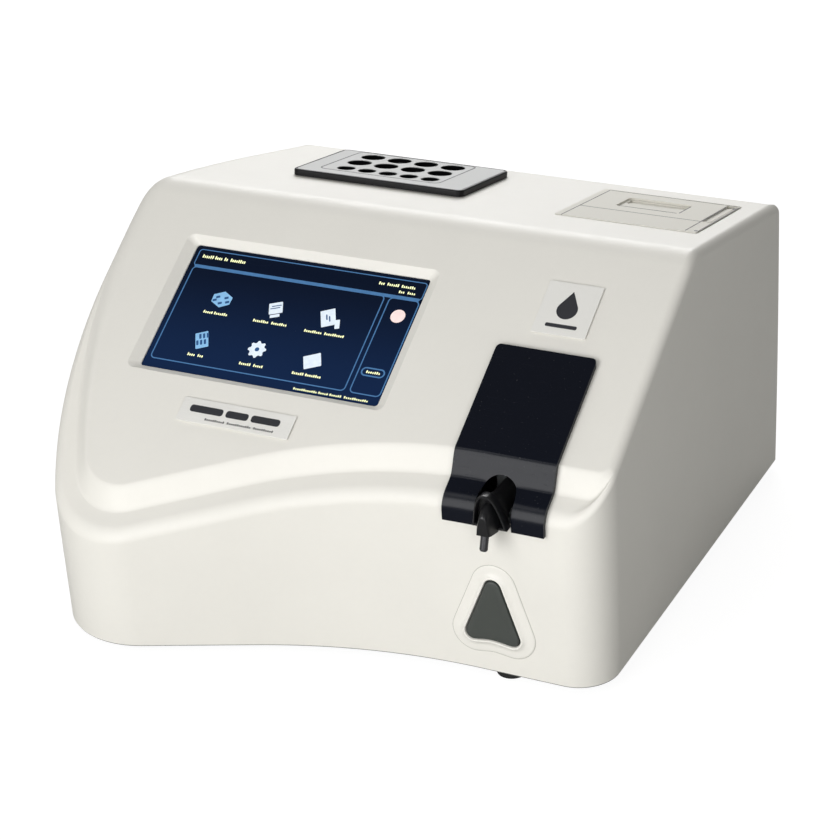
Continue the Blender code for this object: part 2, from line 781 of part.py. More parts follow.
def make_aspirator(root):
    outer = arch(HOOD_WIDTH, HOOD_LOW_Z, HOOD_TOP_Z)
    middle_z = (HOOD_LOW_Z + HOOD_TOP_Z) / 2
    share = 1 - 2 * HOOD_EDGE / HOOD_WIDTH
    inner = [(x * share, middle_z + (z - middle_z) * share) for x, z in outer]
    rings = [
        level(outer, -HOOD_REAR_Y),
        level(outer, -HOOD_FRONT_Y - HOOD_EDGE),
        level(inner, -HOOD_FRONT_Y),
    ]
    at = (COVER_X, 0.0, 0.0)
    upright = (math.pi / 2, 0.0, 0.0)
    hood = add("aspirator_hood", loft(rings), BLACK, root, at, upright)
    core = arch(CORE_WIDTH, HOOD_LOW_Z, CORE_TOP_Z)
    tip = [(x * CORE_TAPER_SHARE, HOOD_LOW_Z + (z - HOOD_LOW_Z) * CORE_TAPER_SHARE) for x, z in core]
    core_bm = loft([level(core, 0.0), level(core, -HOOD_FRONT_Y), level(tip, -CORE_FRONT_Y)])
    fuse(hood, add("hood_core", core_bm, None, root, at, upright))
    bore_bm = turned([(TUBE_RADIUS + GAP, HOOD_LOW_Z - PAST), (TUBE_RADIUS + GAP, TUBE_TOP_Z + GAP)], 12)
    cut(hood, add("hood_bore", bore_bm, None, root, (COVER_X, TUBE_Y, 0.0)))
    profile = [
        (TUBE_RADIUS, TUBE_LOW_Z),
        (TUBE_RADIUS, TUBE_TOP_Z),
        (TUBE_BORE, TUBE_TOP_Z),
        (TUBE_BORE, TUBE_LOW_Z),
    ]
    add("sipper_tube", turned(profile, 12, True), BLACK_STEEL, root, (COVER_X, TUBE_Y, 0.0))


def make_start_key(front, near_skin):
    at = (KEY_X, KEY_Z, 0.0)
    inside = -SLIDE_GAP
    outside = -SLIDE_GAP - BEZEL_SLEEVE
    profile = [
        (-BEZEL_WIDTH, 0.0),
        (-BEZEL_WIDTH, BEZEL_HEIGHT / 2),
        (-BEZEL_WIDTH + BEZEL_HEIGHT / 2, BEZEL_HEIGHT),
        (-BEZEL_WIDTH / 3, BEZEL_HEIGHT),
        (inside, BEZEL_HEIGHT / 2),
        (inside, -BEZEL_DEPTH),
        (outside, -BEZEL_DEPTH),
        (outside, 0.0),
    ]
    rings = [level(key_outline(inset), height) for inset, height in profile]
    bezel = add("trigger_bezel", loft(rings, True), CREAM_LIGHT, front, at)
    sleeve_hole = prism(key_outline(outside - GAP / 2), -BEZEL_DEPTH - PAST, PAST)
    wall_ring = add("sleeve_clear", sleeve_hole, None, front, at)
    shield = add("bezel_relief", case_skin(GAP, 8, 0.0), None, near_skin.parent)
    cut(shield, wall_ring)
    cut(bezel, shield)
    key_profile = [(0.0, -KEY_BACK), (0.0, KEY_HEIGHT - KEY_ROUND), (KEY_ROUND / 2, KEY_HEIGHT - KEY_ROUND / 3)]
    key_profile.append((KEY_ROUND, KEY_HEIGHT))
    key = add("trigger_button", loft([level(key_outline(i), h) for i, h in key_profile]), KEY_GREY, front, at)
    stalk_end = -BEZEL_DEPTH + SWITCH_SIZE / 2 + KEY_TRAVEL + SWITCH_PLAY
    stalk_bm = turned([(STALK_RADIUS, stalk_end), (STALK_RADIUS, -KEY_BACK / 2)], 12)
    fuse(key, add("key_stalk", stalk_bm, None, front, at))
    board_low = -BEZEL_DEPTH - GAP - SWITCH_BOARD
    board = add("trigger_switch", prism(key_outline(outside), board_low, board_low + SWITCH_BOARD), BOARD_GREEN, front, at)
    switch_bm = slab(SWITCH_SIZE, SWITCH_SIZE, board_low, -BEZEL_DEPTH + SWITCH_SIZE / 2)
    fuse(board, add("switch_body", switch_bm, None, front, at))


def on_roof_y(t):
    """How far back a place on the incubator's face lies."""
    return CREASE_Y + t * math.cos(ROOF_ANGLE) + INCUBATOR_HEIGHT * math.sin(ROOF_ANGLE)


def well_places():
    """The upright wells' plan, with four wide ones in two rows and five narrow ones in front."""
    places = []
    for row_t in (REAR_WELLS_T, MIDDLE_WELLS_T):
        for k in range(4):
            places.append((WELL_FIRST_X + WELL_PITCH * k, on_roof_y(row_t), WELL_RADIUS))
    for k in range(5):
        places.append((SMALL_WELL_FIRST_X + SMALL_WELL_PITCH * k, on_roof_y(FRONT_WELLS_T), SMALL_WELL_RADIUS))
    return places


def make_incubator(root, roof):
    at = (INCUBATOR_X, INCUBATOR_T, 0.0)
    corners = rectangle(INCUBATOR_WIDTH, INCUBATOR_DEPTH, INCUBATOR_CORNER)
    top = INCUBATOR_HEIGHT
    rings = [level(outline(corners, inset, 4), height) for inset, height in (
        (0.0, GAP),
        (0.0, top - INCUBATOR_ROUND),
        (INCUBATOR_ROUND / 3, top - INCUBATOR_ROUND / 3),
        (INCUBATOR_ROUND, top),
    )]
    rim = add("incubator_frame", loft(rings), BLACK, roof, at)
    inner = 2 * (INCUBATOR_OPENING_MARGIN + COLLAR_PLAY)
    skirt_bm = slab(INCUBATOR_WIDTH - inner, INCUBATOR_DEPTH - inner, -COLLAR_DEPTH, top / 2)
    fuse(rim, add("incubator_skirt", skirt_bm, None, roof, at))
    face_corners = outline(corners, FACE_MARGIN, 4)
    face_low = top - FACE_THICKNESS
    pocket_bm = prism(face_corners, face_low - GAP, top + PAST)
    cut(rim, add("face_pocket", pocket_bm, None, roof, at))
    face_bm = prism(outline(corners, FACE_MARGIN + GAP, 4), face_low, top)
    face = add("incubator_label", face_bm, SILVER, roof, at)
    margin = 2 * BLOCK_MARGIN
    block_width = INCUBATOR_WIDTH - margin
    block_depth = (INCUBATOR_DEPTH - margin) * math.cos(ROOF_ANGLE)
    block_at = (INCUBATOR_X, on_roof_y(INCUBATOR_T), 0.0)
    block = add("incubator_block", slab(block_width, block_depth, BLOCK_LOW_Z, CREASE_Z), ALUMINIUM, root, block_at)
    above_bm = slab(2 * block_width, 2 * block_depth, -COLLAR_DEPTH - GAP, TALL)
    above = add("block_trim", above_bm, None, roof, at)
    heater_top = BLOCK_LOW_Z - GAP
    heater_bm = slab(block_width, block_depth, heater_top - HEATER_THICKNESS, heater_top)
    add("heater_plate", heater_bm, COPPER, root, block_at)
    wells = well_places()
    wide = [(x, y, radius + WELL_HOLE_EXTRA) for x, y, radius in wells]
    mouths = add("well_mouths", drills(wide, BLOCK_LOW_Z, TALL, 14), None, root)
    cut(rim, mouths)
    cut(face, mouths)
    cut(block, above, add("wells", drills(wells, BLOCK_LOW_Z + WELL_FLOOR, TALL, 14), None, root))


def make_printer(roof):
    at = (PRINTER_X, PRINTER_T, 0.0)
    front_t = PRINTER_T - PRINTER_DEPTH / 2
    rear_t = PRINTER_T + PRINTER_DEPTH / 2
    seam_t = front_t + STRIP_DEPTH
    width = PRINTER_WIDTH - 2 * GAP
    depth = PRINTER_DEPTH - 2 * GAP
    case_bm = slab(width, depth, -PRINTER_CASE_DEPTH, PRINTER_PROUD, PRINTER_CORNER - GAP)
    case = add("printer_frame", case_bm, CREAM, roof, at)
    inside = 2 * PRINTER_CASE_WALL
    hollow_low = -PRINTER_CASE_DEPTH + PRINTER_CASE_WALL
    hollow_high = -DOOR_THICKNESS - 2 * PRINTER_CASE_WALL
    hollow_bm = slab(width - inside, depth - inside, hollow_low, hollow_high)
    hollow = add("printer_hollow", hollow_bm, None, roof, at)
    door_rear = rear_t - DOOR_REAR_MARGIN
    door_depth = door_rear - seam_t
    door_t = (door_rear + seam_t) / 2
    mouth_width = DOOR_WIDTH - 2 * DOOR_REST_WIDTH
    mouth_depth = door_depth - 2 * DOOR_REST_WIDTH
    mouth_bm = slab(mouth_width, mouth_depth, hollow_high - PAST, PAST)
    mouth = add("printer_mouth", mouth_bm, None, roof, (DOOR_X, door_t, 0.0))
    seat_bm = slab(DOOR_WIDTH + 2 * SLIDE_GAP, door_depth, -DOOR_THICKNESS - GAP, PAST)
    seat = add("door_seat", seat_bm, None, roof, (DOOR_X, door_t, 0.0))
    barrel_room = DOOR_BARREL_RADIUS + GAP
    trough_low = -DOOR_PIN_DROP - barrel_room
    trough_bm = slab(2 * barrel_room, door_depth, trough_low, PAST)
    trough = add("hinge_trough", trough_bm, None, roof, (DOOR_PIN_X, door_t, 0.0))
    neck_x = DOOR_PIN_X - DOOR_BARREL_RADIUS
    neck_bm = slab(DOOR_NECK, door_depth, -DOOR_THICKNESS - GAP, PAST)
    neck = add("hinge_neck_room", neck_bm, None, roof, (neck_x, door_t, 0.0))
    pin_length = door_depth + 2 * DOOR_REST_WIDTH
    bore_bm = turned([(DOOR_PIN_RADIUS + GAP, -pin_length / 2 - GAP), (DOOR_PIN_RADIUS + GAP, pin_length / 2 + GAP)], 12)
    flat = (math.pi / 2, 0.0, 0.0)
    pin_at = (DOOR_PIN_X, door_t, -DOOR_PIN_DROP)
    bore = add("pin_bore", bore_bm, None, roof, pin_at, flat)
    cut(case, hollow, mouth, seat, trough, neck, bore)

    door_frame = frame("printer_door_axis", roof, pin_at)
    half_depth = door_depth / 2 - SLIDE_GAP
    door_x = DOOR_X - DOOR_PIN_X
    plate_high = PRINTER_PROUD + DOOR_PIN_DROP
    plate_low = DOOR_PIN_DROP - DOOR_THICKNESS
    door_bm = slab(DOOR_WIDTH, 2 * half_depth, plate_low, plate_high, x=door_x)
    door = add("printer_door", door_bm, CREAM, door_frame)
    right_edge = door_x + DOOR_WIDTH / 2
    arm_width = DOOR_PIN_RADIUS - right_edge
    arm_low = DOOR_PIN_DROP - DOOR_THICKNESS / 2
    arm_length = 2 * half_depth - 2 * DOOR_NECK
    arm_bm = slab(arm_width, arm_length, arm_low, DOOR_PIN_DROP - GAP, x=-arm_width / 2)
    barrel_bm = turned([(DOOR_BARREL_RADIUS - GAP, -half_depth + DOOR_NECK), (DOOR_BARREL_RADIUS - GAP, half_depth - DOOR_NECK)], 16)
    door_arm = add("door_arm", arm_bm, None, door_frame)
    barrel = add("door_barrel", barrel_bm, None, door_frame, (0.0, 0.0, 0.0), flat)
    bore_door_bm = turned([(DOOR_PIN_RADIUS + SHAFT_PLAY, -half_depth - PAST), (DOOR_PIN_RADIUS + SHAFT_PLAY, half_depth + PAST)], 12)
    door_bore = add("door_pin_bore", bore_door_bm, None, door_frame, (0.0, 0.0, 0.0), flat)
    fuse(door, door_arm, barrel)
    grip_y = GRIP_T - door_t
    grip_bm = slab(GRIP_WIDTH, GRIP_DEPTH, plate_high - GRIP_SINK, plate_high + PAST, GRIP_CORNER)
    slot_bm = slab(GRIP_WIDTH - 2 * GRIP_CORNER, GRIP_SLOT, plate_high - 2 * GRIP_SINK, plate_high + PAST)
    slot_y = grip_y + (GRIP_DEPTH - GRIP_SLOT) / 2 - GRIP_CORNER
    grip = add("door_grip", grip_bm, None, door_frame, (door_x, grip_y, 0.0))
    slot = add("door_grip_slot", slot_bm, None, door_frame, (door_x, slot_y, 0.0))
    cut(door, door_bore, grip, slot)
    pin_bm = turned([(DOOR_PIN_RADIUS, -pin_length / 2), (DOOR_PIN_RADIUS, pin_length / 2)], 12)
    add("door_pin", pin_bm, STEEL, roof, pin_at, flat)

    across = (0.0, math.pi / 2, 0.0)
    half = ROLL_WIDTH / 2
    roll_profile = [(ROLL_RADIUS, -half), (ROLL_RADIUS, half), (ROLL_CORE_RADIUS, half), (ROLL_CORE_RADIUS, -half)]
    roll_z = -PRINTER_CASE_DEPTH + PRINTER_CASE_WALL + GAP + ROLL_RADIUS
    add("paper_roll", turned(roll_profile, 24, True), PAPER, roof, (DOOR_X, ROLL_T, roll_z), across)
    half = PLATEN_WIDTH / 2
    tip = PLATEN_SHAFT_LENGTH / 2
    platen_profile = [
        (PLATEN_SHAFT_RADIUS, -tip),
        (PLATEN_SHAFT_RADIUS, -half),
        (PLATEN_RADIUS, -half),
        (PLATEN_RADIUS, half),
        (PLATEN_SHAFT_RADIUS, half),
        (PLATEN_SHAFT_RADIUS, tip),
    ]
    platen_at = (DOOR_X, PLATEN_T, -PLATEN_DROP - PLATEN_RADIUS)
    add("platen_roller", turned(platen_profile, 16), RUBBER, roof, platen_at, across)
    head_t = PLATEN_T - PLATEN_RADIUS - GAP - HEAD_DEPTH / 2
    head_z = -PLATEN_DROP - PLATEN_RADIUS - HEAD_HEIGHT / 2
    head_bm = slab(PLATEN_WIDTH, HEAD_DEPTH, 0.0, HEAD_HEIGHT)
    add("thermal_head", head_bm, CERAMIC, roof, (DOOR_X, head_t, head_z))
    ear_width = PLATEN_SHAFT_LENGTH / 2 - half - GAP
    for side in (-1, 1):
        ear_x = DOOR_X + side * (half + GAP + ear_width / 2)
        ear_depth = 2 * PLATEN_SHAFT_RADIUS + 2 * DOOR_REST_WIDTH
        ear_bm = slab(ear_width, ear_depth, hollow_low - PRINTER_CASE_WALL / 2, platen_at[2] + ear_depth / 2)
        ear = add(f"platen_ear_{side}", ear_bm, None, roof, (ear_x, PLATEN_T, 0.0))
        fuse(case, ear)
    shaft_bm = turned([(PLATEN_SHAFT_RADIUS + SHAFT_PLAY, -tip - PAST), (PLATEN_SHAFT_RADIUS + SHAFT_PLAY, tip + PAST)], 16)
    cut(case, add("platen_bore", shaft_bm, None, roof, platen_at, across))
    shelf_bm = slab(PLATEN_WIDTH, HEAD_DEPTH, hollow_low - PRINTER_CASE_WALL / 2, head_z - GAP)
    fuse(case, add("head_shelf", shelf_bm, None, roof, (DOOR_X, head_t, 0.0)))


def make_base(root):
    points = outline(PLAN, WALL + GAP, 5)
    base = add("base_plate", prism(points, BASE_LOW, BASE_LOW + BASE_SHEET), STEEL, root)
    vent_places = [(0.0, step) for step in spaced(VENT_COUNT, VENT_PITCH)]
    vents_bm = slots(vent_places, VENT_LENGTH, VENT_WIDTH, BASE_LOW - PAST, BASE_LOW + BASE_SHEET + PAST)
    cut(base, add("base_vents", vents_bm, None, root, (VENT_X, VENT_Y, 0.0)))
    feet = {
        "foot_front_right": (FRONT_FOOT_X, FRONT_FOOT_Y),
        "foot_front_left": (FRONT_LEFT_FOOT_X, FRONT_LEFT_FOOT_Y),
        "foot_rear_right": (REAR_FOOT_X, REAR_FOOT_Y),
        "foot_rear_left": (REAR_LEFT_FOOT_X, REAR_FOOT_Y),
    }
    profile = [
        (FOOT_RADIUS - FOOT_TAPER - FOOT_ROUND, -FOOT_HEIGHT),
        (FOOT_RADIUS - FOOT_TAPER, FOOT_ROUND - FOOT_HEIGHT),
        (FOOT_RADIUS, BASE_LOW - GAP),
    ]
    for name, (x, y) in feet.items():
        add(name, turned(profile, 20), RUBBER, root, (x, y, 0.0))


def make_fan(rear):
    depth = -PANEL_SHEET - GAP
    at = (FAN_X, FAN_Z, depth)
    body = add("fan_frame", slab(FAN_SIZE, FAN_SIZE, -FAN_THICKNESS, 0.0, FAN_CORNER), BLACK, rear, at)
    web = -FAN_THICKNESS + MOTOR_WEB
    bore_bm = turned([(FAN_BORE_RADIUS, web), (FAN_BORE_RADIUS, PAST)], 24)
    cut(body, add("fan_bore", bore_bm, None, rear, at))
    vent_profile = [
        (HUB_RADIUS, web - PAST),
        (HUB_RADIUS, web + PAST / 2),
        (FAN_BORE_RADIUS, web + PAST / 2),
        (FAN_BORE_RADIUS, web - PAST),
    ]
    vent = add("fan_vent", turned(vent_profile, 24, True), None, rear, at)
    for k in range(2):
        strut_bm = slab(FAN_SIZE, STRUT_WIDTH, web - 2 * PAST, web + PAST)
        strut = add(f"fan_strut_{k}", strut_bm, None, rear, at, (0.0, 0.0, math.pi / 4 + math.pi / 2 * k))
        cut(vent, strut)
    cut(body, vent)
    hub_high = -ROTOR_PLAY
    hub_low = web + ROTOR_PLAY
    rotor_bm = turned([(HUB_RADIUS, hub_low), (HUB_RADIUS, hub_high)], 20)
    rotor = add("fan_rotor", rotor_bm, BLACK, rear, at)
    span = ROTOR_RADIUS - HUB_RADIUS + BLADE_ROOT
    chord = (hub_high - hub_low) / math.sin(BLADE_PITCH_ANGLE) - 2 * BLADE_THICKNESS
    for k in range(BLADE_COUNT):
        turn = math.tau * k / BLADE_COUNT
        blade_bm = slab(span, chord, -BLADE_THICKNESS / 2, BLADE_THICKNESS / 2, x=HUB_RADIUS - BLADE_ROOT + span / 2)
        bmesh.ops.rotate(blade_bm, verts=blade_bm.verts, matrix=Matrix.Rotation(BLADE_PITCH_ANGLE, 3, "X"))
        lift = (hub_high + hub_low) / 2
        bmesh.ops.translate(blade_bm, verts=blade_bm.verts, vec=(0.0, 0.0, lift))
        fuse(rotor, add(f"fan_blade_{k}", blade_bm, None, rear, at, (0.0, 0.0, turn)))


def make_rear(root):
    rear_inside = REAR_Y - WALL - GAP
    rear = frame("rear_frame", root, (0.0, rear_inside, 0.0), math.pi / 2)
    rear.rotation_euler.z = math.pi
    low = BASE_LOW + BASE_SHEET + GAP
    high = REAR_WINDOW_LOW + REAR_WINDOW_HEIGHT + PANEL_MARGIN
    width = REAR_WINDOW_WIDTH + 2 * PANEL_MARGIN
    panel_bm = slab(width, high - low, -PANEL_SHEET, 0.0, y=(high + low) / 2)
    panel = add("rear_panel", panel_bm, GREY_PAINT, rear)
    for k in range(FAN_SLOT_COUNT):
        place = FAN_SLOT_PITCH * (k - (FAN_SLOT_COUNT - 1) / 2)
        half = math.sqrt(FAN_BORE_RADIUS**2 - place**2) - FAN_SLOT_WIDTH / 2
        slot_bm = slab(FAN_SLOT_WIDTH, 2 * half, -PANEL_SHEET - PAST, PAST)
        cut(panel, add(f"fan_slot_{k}", slot_bm, None, rear, (FAN_X + place, FAN_Z, 0.0)))
    make_fan(rear)

    inlet_at = (INLET_X, INLET_Z, 0.0)
    hole_bm = slab(INLET_WIDTH + 2 * GAP, INLET_HEIGHT + 2 * GAP, -PANEL_SHEET - PAST, PAST, INLET_CORNER)
    cut(panel, add("inlet_hole", hole_bm, None, rear, inlet_at))
    body_bm = slab(INLET_WIDTH, INLET_HEIGHT, -INLET_DEPTH, GAP + INLET_FLANGE_THICKNESS, INLET_CORNER)
    inlet = add("power_inlet", body_bm, BLACK, rear, inlet_at)
    flange_bm = slab(INLET_WIDTH + 2 * INLET_FLANGE, INLET_HEIGHT + 2 * INLET_FLANGE, GAP, GAP + INLET_FLANGE_THICKNESS, INLET_CORNER)
    fuse(inlet, add("inlet_flange", flange_bm, None, rear, inlet_at))
    cavity_low = INLET_WALL - INLET_DEPTH
    cavity_bm = slab(INLET_WIDTH - 2 * INLET_WALL, INLET_HEIGHT - 2 * INLET_WALL, cavity_low, PAST + INLET_FLANGE_THICKNESS, INLET_CORNER / 2)
    cut(inlet, add("inlet_cavity", cavity_bm, None, rear, inlet_at))
    for k in (-1, 0, 1):
        pin_bm = slab(BLADE_PIN_WIDTH, BLADE_PIN_HEIGHT, cavity_low - INLET_WALL / 2, cavity_low + BLADE_PIN_LENGTH)
        pin_at = (INLET_X + BLADE_PIN_SPREAD * k, INLET_Z + (BLADE_PIN_WIDTH if k == 0 else -BLADE_PIN_WIDTH), 0.0)
        fuse(inlet, add(f"inlet_pin_{k}", pin_bm, None, rear, pin_at))

    switch_at = (SWITCH_X, SWITCH_Z, 0.0)
    frame_width = ROCKER_WIDTH + 2 * (ROCKER_PLAY + ROCKER_FRAME_WALL)
    frame_height = ROCKER_HEIGHT + 2 * (ROCKER_PLAY + ROCKER_FRAME_WALL)
    cut(panel, add("switch_hole", slab(frame_width + 2 * GAP, frame_height + 2 * GAP, -PANEL_SHEET - PAST, PAST), None, rear, switch_at))
    rim_high = GAP + ROCKER_FRAME_FLANGE
    switch_frame = add("switch_frame", slab(frame_width, frame_height, -ROCKER_FRAME_DEPTH, rim_high), BLACK, rear, switch_at)
    collar_bm = slab(frame_width + 2 * ROCKER_FRAME_FLANGE, frame_height + 2 * ROCKER_FRAME_FLANGE, GAP, rim_high)
    fuse(switch_frame, add("switch_collar", collar_bm, None, rear, switch_at))
    pocket_bm = slab(ROCKER_WIDTH + 2 * ROCKER_PLAY, ROCKER_HEIGHT + 2 * ROCKER_PLAY, ROCKER_FRAME_WALL - ROCKER_FRAME_DEPTH, PAST + rim_high)
    cut(switch_frame, add("switch_pocket", pocket_bm, None, rear, switch_at))
    half = ROCKER_HEIGHT / 2
    rise = ROCKER_DEPTH / 2
    section = [
        (-half, rise),
        (-half + ROCKER_RISE, -rise),
        (half - ROCKER_RISE, -rise),
        (half, rise),
        (0.0, rise - ROCKER_RISE),
    ]
    rocker_bm = prism(section, -ROCKER_WIDTH / 2, ROCKER_WIDTH / 2)
    lie = Matrix(((0, 0, 1), (1, 0, 0), (0, 1, 0)))
    bmesh.ops.rotate(rocker_bm, verts=rocker_bm.verts, matrix=lie)
    rocker_at = (SWITCH_X, SWITCH_Z, rim_high - rise)
    add("power_switch", rocker_bm, BLACK, rear, rocker_at, (-ROCKER_ANGLE, 0.0, 0.0), smooth=False)

    serial_at = (SERIAL_X, SERIAL_Z, 0.0)
    half_wide = SERIAL_WIDTH / 2
    half_high = SERIAL_HEIGHT / 2
    shell_corners = (
        (-half_wide + SERIAL_TAPER, -half_high, SERIAL_CORNER),
        (half_wide - SERIAL_TAPER, -half_high, SERIAL_CORNER),
        (half_wide, half_high, SERIAL_CORNER),
        (-half_wide, half_high, SERIAL_CORNER),
    )
    cut(panel, add("serial_hole", prism(outline(shell_corners, -GAP, 3), -PANEL_SHEET - PAST, PAST), None, rear, serial_at))
    serial = add("serial_port", prism(outline(shell_corners, 0.0, 3), -SERIAL_BODY, SERIAL_SHELL), STEEL, rear, serial_at)
    behind = -PANEL_SHEET - GAP
    serial_flange = slab(SERIAL_FLANGE_WIDTH, SERIAL_FLANGE_HEIGHT, -SERIAL_BODY, behind)
    fuse(serial, add("serial_flange", serial_flange, None, rear, serial_at))
    serial_cut = prism(outline(shell_corners, SERIAL_SKIN, 3), SERIAL_SKIN / 2, SERIAL_SHELL + PAST)
    cut(serial, add("serial_cavity", serial_cut, None, rear, serial_at))

    usb_at = (USB_X, USB_Z, 0.0)
    cut(panel, add("usb_hole", slab(USB_WIDTH + 2 * GAP, USB_HEIGHT + 2 * GAP, -PANEL_SHEET - PAST, PAST), None, rear, usb_at))
    usb = add("usb_port", slab(USB_WIDTH, USB_HEIGHT, -USB_DEPTH, USB_WALL / 2), STEEL, rear, usb_at)
    usb_low = USB_WALL - USB_DEPTH
    usb_cut = slab(USB_WIDTH - 2 * USB_WALL, USB_HEIGHT - 2 * USB_WALL, usb_low, PAST)
    cut(usb, add("usb_cavity", usb_cut, None, rear, usb_at))
    tongue_bm = slab(USB_TONGUE, USB_TONGUE, usb_low - USB_WALL / 2, -USB_WALL)
    fuse(usb, add("usb_tongue", tongue_bm, None, rear, usb_at))

    waste_at = (WASTE_X, WASTE_Z, 0.0)
    room = WASTE_RADIUS + GAP
    cut(panel, add("waste_hole", turned([(room, -PANEL_SHEET - PAST), (room, PAST)], 16), None, rear, waste_at))
    waste_profile = [
        (WASTE_RADIUS, -WASTE_REACH),
        (WASTE_RADIUS, GAP),
        (WASTE_FLANGE_RADIUS, GAP),
        (WASTE_FLANGE_RADIUS, GAP + WASTE_FLANGE),
        (WASTE_RADIUS - WASTE_BARB, GAP + WASTE_FLANGE),
        (WASTE_RADIUS - WASTE_BARB, WASTE_NECK - WASTE_BARB),
        (WASTE_RADIUS, WASTE_NECK),
        (WASTE_RADIUS - WASTE_BARB, WASTE_NECK + 2 * WASTE_BARB),
        (WASTE_BORE, WASTE_NECK + 2 * WASTE_BARB),
        (WASTE_BORE, -WASTE_REACH),
    ]
    add("waste_port", turned(waste_profile, 16, True), PEARL, rear, waste_at)

    screws = [(x, z) for z in (SCREW_Z_LOW, SCREW_Z_HIGH) for x in (-SCREW_X, SCREW_X)]
    holes = [(x, z, SCREW_RADIUS + GAP) for x, z in screws]
    cut(panel, add("screw_holes", drills(holes, -PANEL_SHEET - PAST, PAST, 8), None, rear))
    profile = [
        (SCREW_RADIUS, -SCREW_LENGTH),
        (SCREW_RADIUS, GAP),
        (SCREW_HEAD_RADIUS, GAP),
        (SCREW_HEAD_RADIUS, GAP + SCREW_HEAD_HEIGHT),
    ]
    for k, (x, z) in enumerate(screws):
        screw = add(f"rear_screw_{k + 1}", turned(profile, 10), STEEL, rear, (x, z, 0.0))
        slot_bm = slab(SCREW_SLOT, 3 * SCREW_HEAD_RADIUS, GAP + SCREW_HEAD_HEIGHT / 2, PAST)
        cut(screw, add(f"screw_slot_{k + 1}", slot_bm, None, rear, (x, z, 0.0)))


def make_optics(root):
    floor = BASE_LOW + BASE_SHEET + GAP
    bench_top = floor + BENCH_HEIGHT
    bench = add("optical_bench", slab(BENCH_WIDTH, BENCH_DEPTH, floor, bench_top), ALUMINIUM, root, (BENCH_X, BENCH_Y, 0.0))
    tunnel_bm = slab(BENCH_WIDTH - 2 * BENCH_WALL, BENCH_DEPTH + 2 * PAST, floor - PAST, bench_top - BENCH_TOP)
    cut(bench, add("bench_tunnel", tunnel_bm, None, root, (BENCH_X, BENCH_Y, 0.0)))
    top = bench_top + GAP
    cell_y = HOOD_REAR_Y + GAP + CELL_DEPTH / 2
    cell = add("flow_cell", slab(CELL_WIDTH, CELL_DEPTH, top, top + CELL_HEIGHT, CELL_CORNER), CLEAR, root, (CELL_X, cell_y, 0.0))
    axis_z = top + LENS_Z
    across = (0.0, math.pi / 2, 0.0)
    window_bm = turned([(CELL_WINDOW_RADIUS, -CELL_WIDTH), (CELL_WINDOW_RADIUS, CELL_WIDTH)], 14)
    cut(cell, add("cell_window", window_bm, None, root, (CELL_X, cell_y, axis_z), across))

    holder_at = (LAMP_HOLDER_X, cell_y, 0.0)
    holder_bm = slab(LAMP_HOLDER_WIDTH, LAMP_HOLDER_DEPTH, top, top + LAMP_HOLDER_HEIGHT)
    holder = add("lamp_holder", holder_bm, CERAMIC, root, holder_at)
    socket_low = top + LAMP_HOLDER_HEIGHT - LAMP_SOCKET_DEPTH
    socket_bm = turned([(LAMP_CAP_RADIUS + GAP, socket_low), (LAMP_CAP_RADIUS + GAP, socket_low + TALL)], 16)
    cut(holder, add("lamp_socket", socket_bm, None, root, holder_at))
    lamp_profile = [
        (LAMP_CAP_RADIUS, socket_low + GAP),
        (LAMP_CAP_RADIUS, socket_low + LAMP_CAP_HEIGHT),
        (LAMP_BULB_RADIUS, socket_low + LAMP_CAP_HEIGHT + LAMP_BULB_RADIUS),
        (LAMP_BULB_RADIUS, socket_low + LAMP_CAP_HEIGHT + LAMP_BULB_HEIGHT - LAMP_BULB_RADIUS / 2),
        (LAMP_BULB_RADIUS / 2, socket_low + LAMP_CAP_HEIGHT + LAMP_BULB_HEIGHT),
    ]
    add("halogen_lamp", turned(lamp_profile, 16), CLEAR, root, holder_at)

    wheel_z = top + WHEEL_LIFT
    wheel_at = (WHEEL_X, cell_y, wheel_z)
    half = WHEEL_THICKNESS / 2
    wheel_bm = turned([(WHEEL_RADIUS, -half), (WHEEL_RADIUS, half), (SHAFT_RADIUS, half), (SHAFT_RADIUS, -half)], 24, True)
    wheel = add("filter_wheel", wheel_bm, ALUMINIUM_DARK, root, wheel_at, across)
    holes = [(x, y, WHEEL_HOLE_RADIUS) for x, y in circle(WHEEL_HOLE_CIRCLE, WHEEL_HOLES)]
    cut(wheel, add("wheel_holes", drills(holes, -half - PAST, half + PAST, 10), None, root, wheel_at, across))
    motor_low = wheel_z - MOTOR_SIZE / 2
    motor_bm = slab(MOTOR_SIZE, MOTOR_SIZE, -MOTOR_LENGTH, 0.0, MOTOR_CORNER)
    motor_at = (MOTOR_X + MOTOR_LENGTH / 2, cell_y, wheel_z)
    motor = add("filter_motor", motor_bm, BLACK_STEEL, root, motor_at, across)
    reach = WHEEL_X - motor_at[0] + half + SHAFT_RADIUS
    spindle = SHAFT_RADIUS - SHAFT_PLAY
    shaft_bm = turned([(spindle, -MOTOR_LENGTH / 2), (spindle, reach)], 16)
    fuse(motor, add("filter_motor_shaft", shaft_bm, None, root, motor_at, across))
    block_bm = slab(MOTOR_LENGTH, MOTOR_SIZE - 2 * MOTOR_CORNER, top, motor_low + MOTOR_CORNER)
    fuse(motor, add("filter_motor_foot", block_bm, None, root, (MOTOR_X, cell_y, 0.0)))

    board_bm = slab(DETECTOR_WIDTH, DETECTOR_DEPTH, top, top + DETECTOR_HEIGHT)
    detector = add("detector_board", board_bm, BOARD_GREEN, root, (DETECTOR_X, cell_y, 0.0))
    can_bm = turned([(DETECTOR_CAN_RADIUS, 0.0), (DETECTOR_CAN_RADIUS, DETECTOR_CAN_LENGTH)], 16)
    fuse(detector, add("detector_can", can_bm, None, root, (DETECTOR_X, cell_y, axis_z), across))


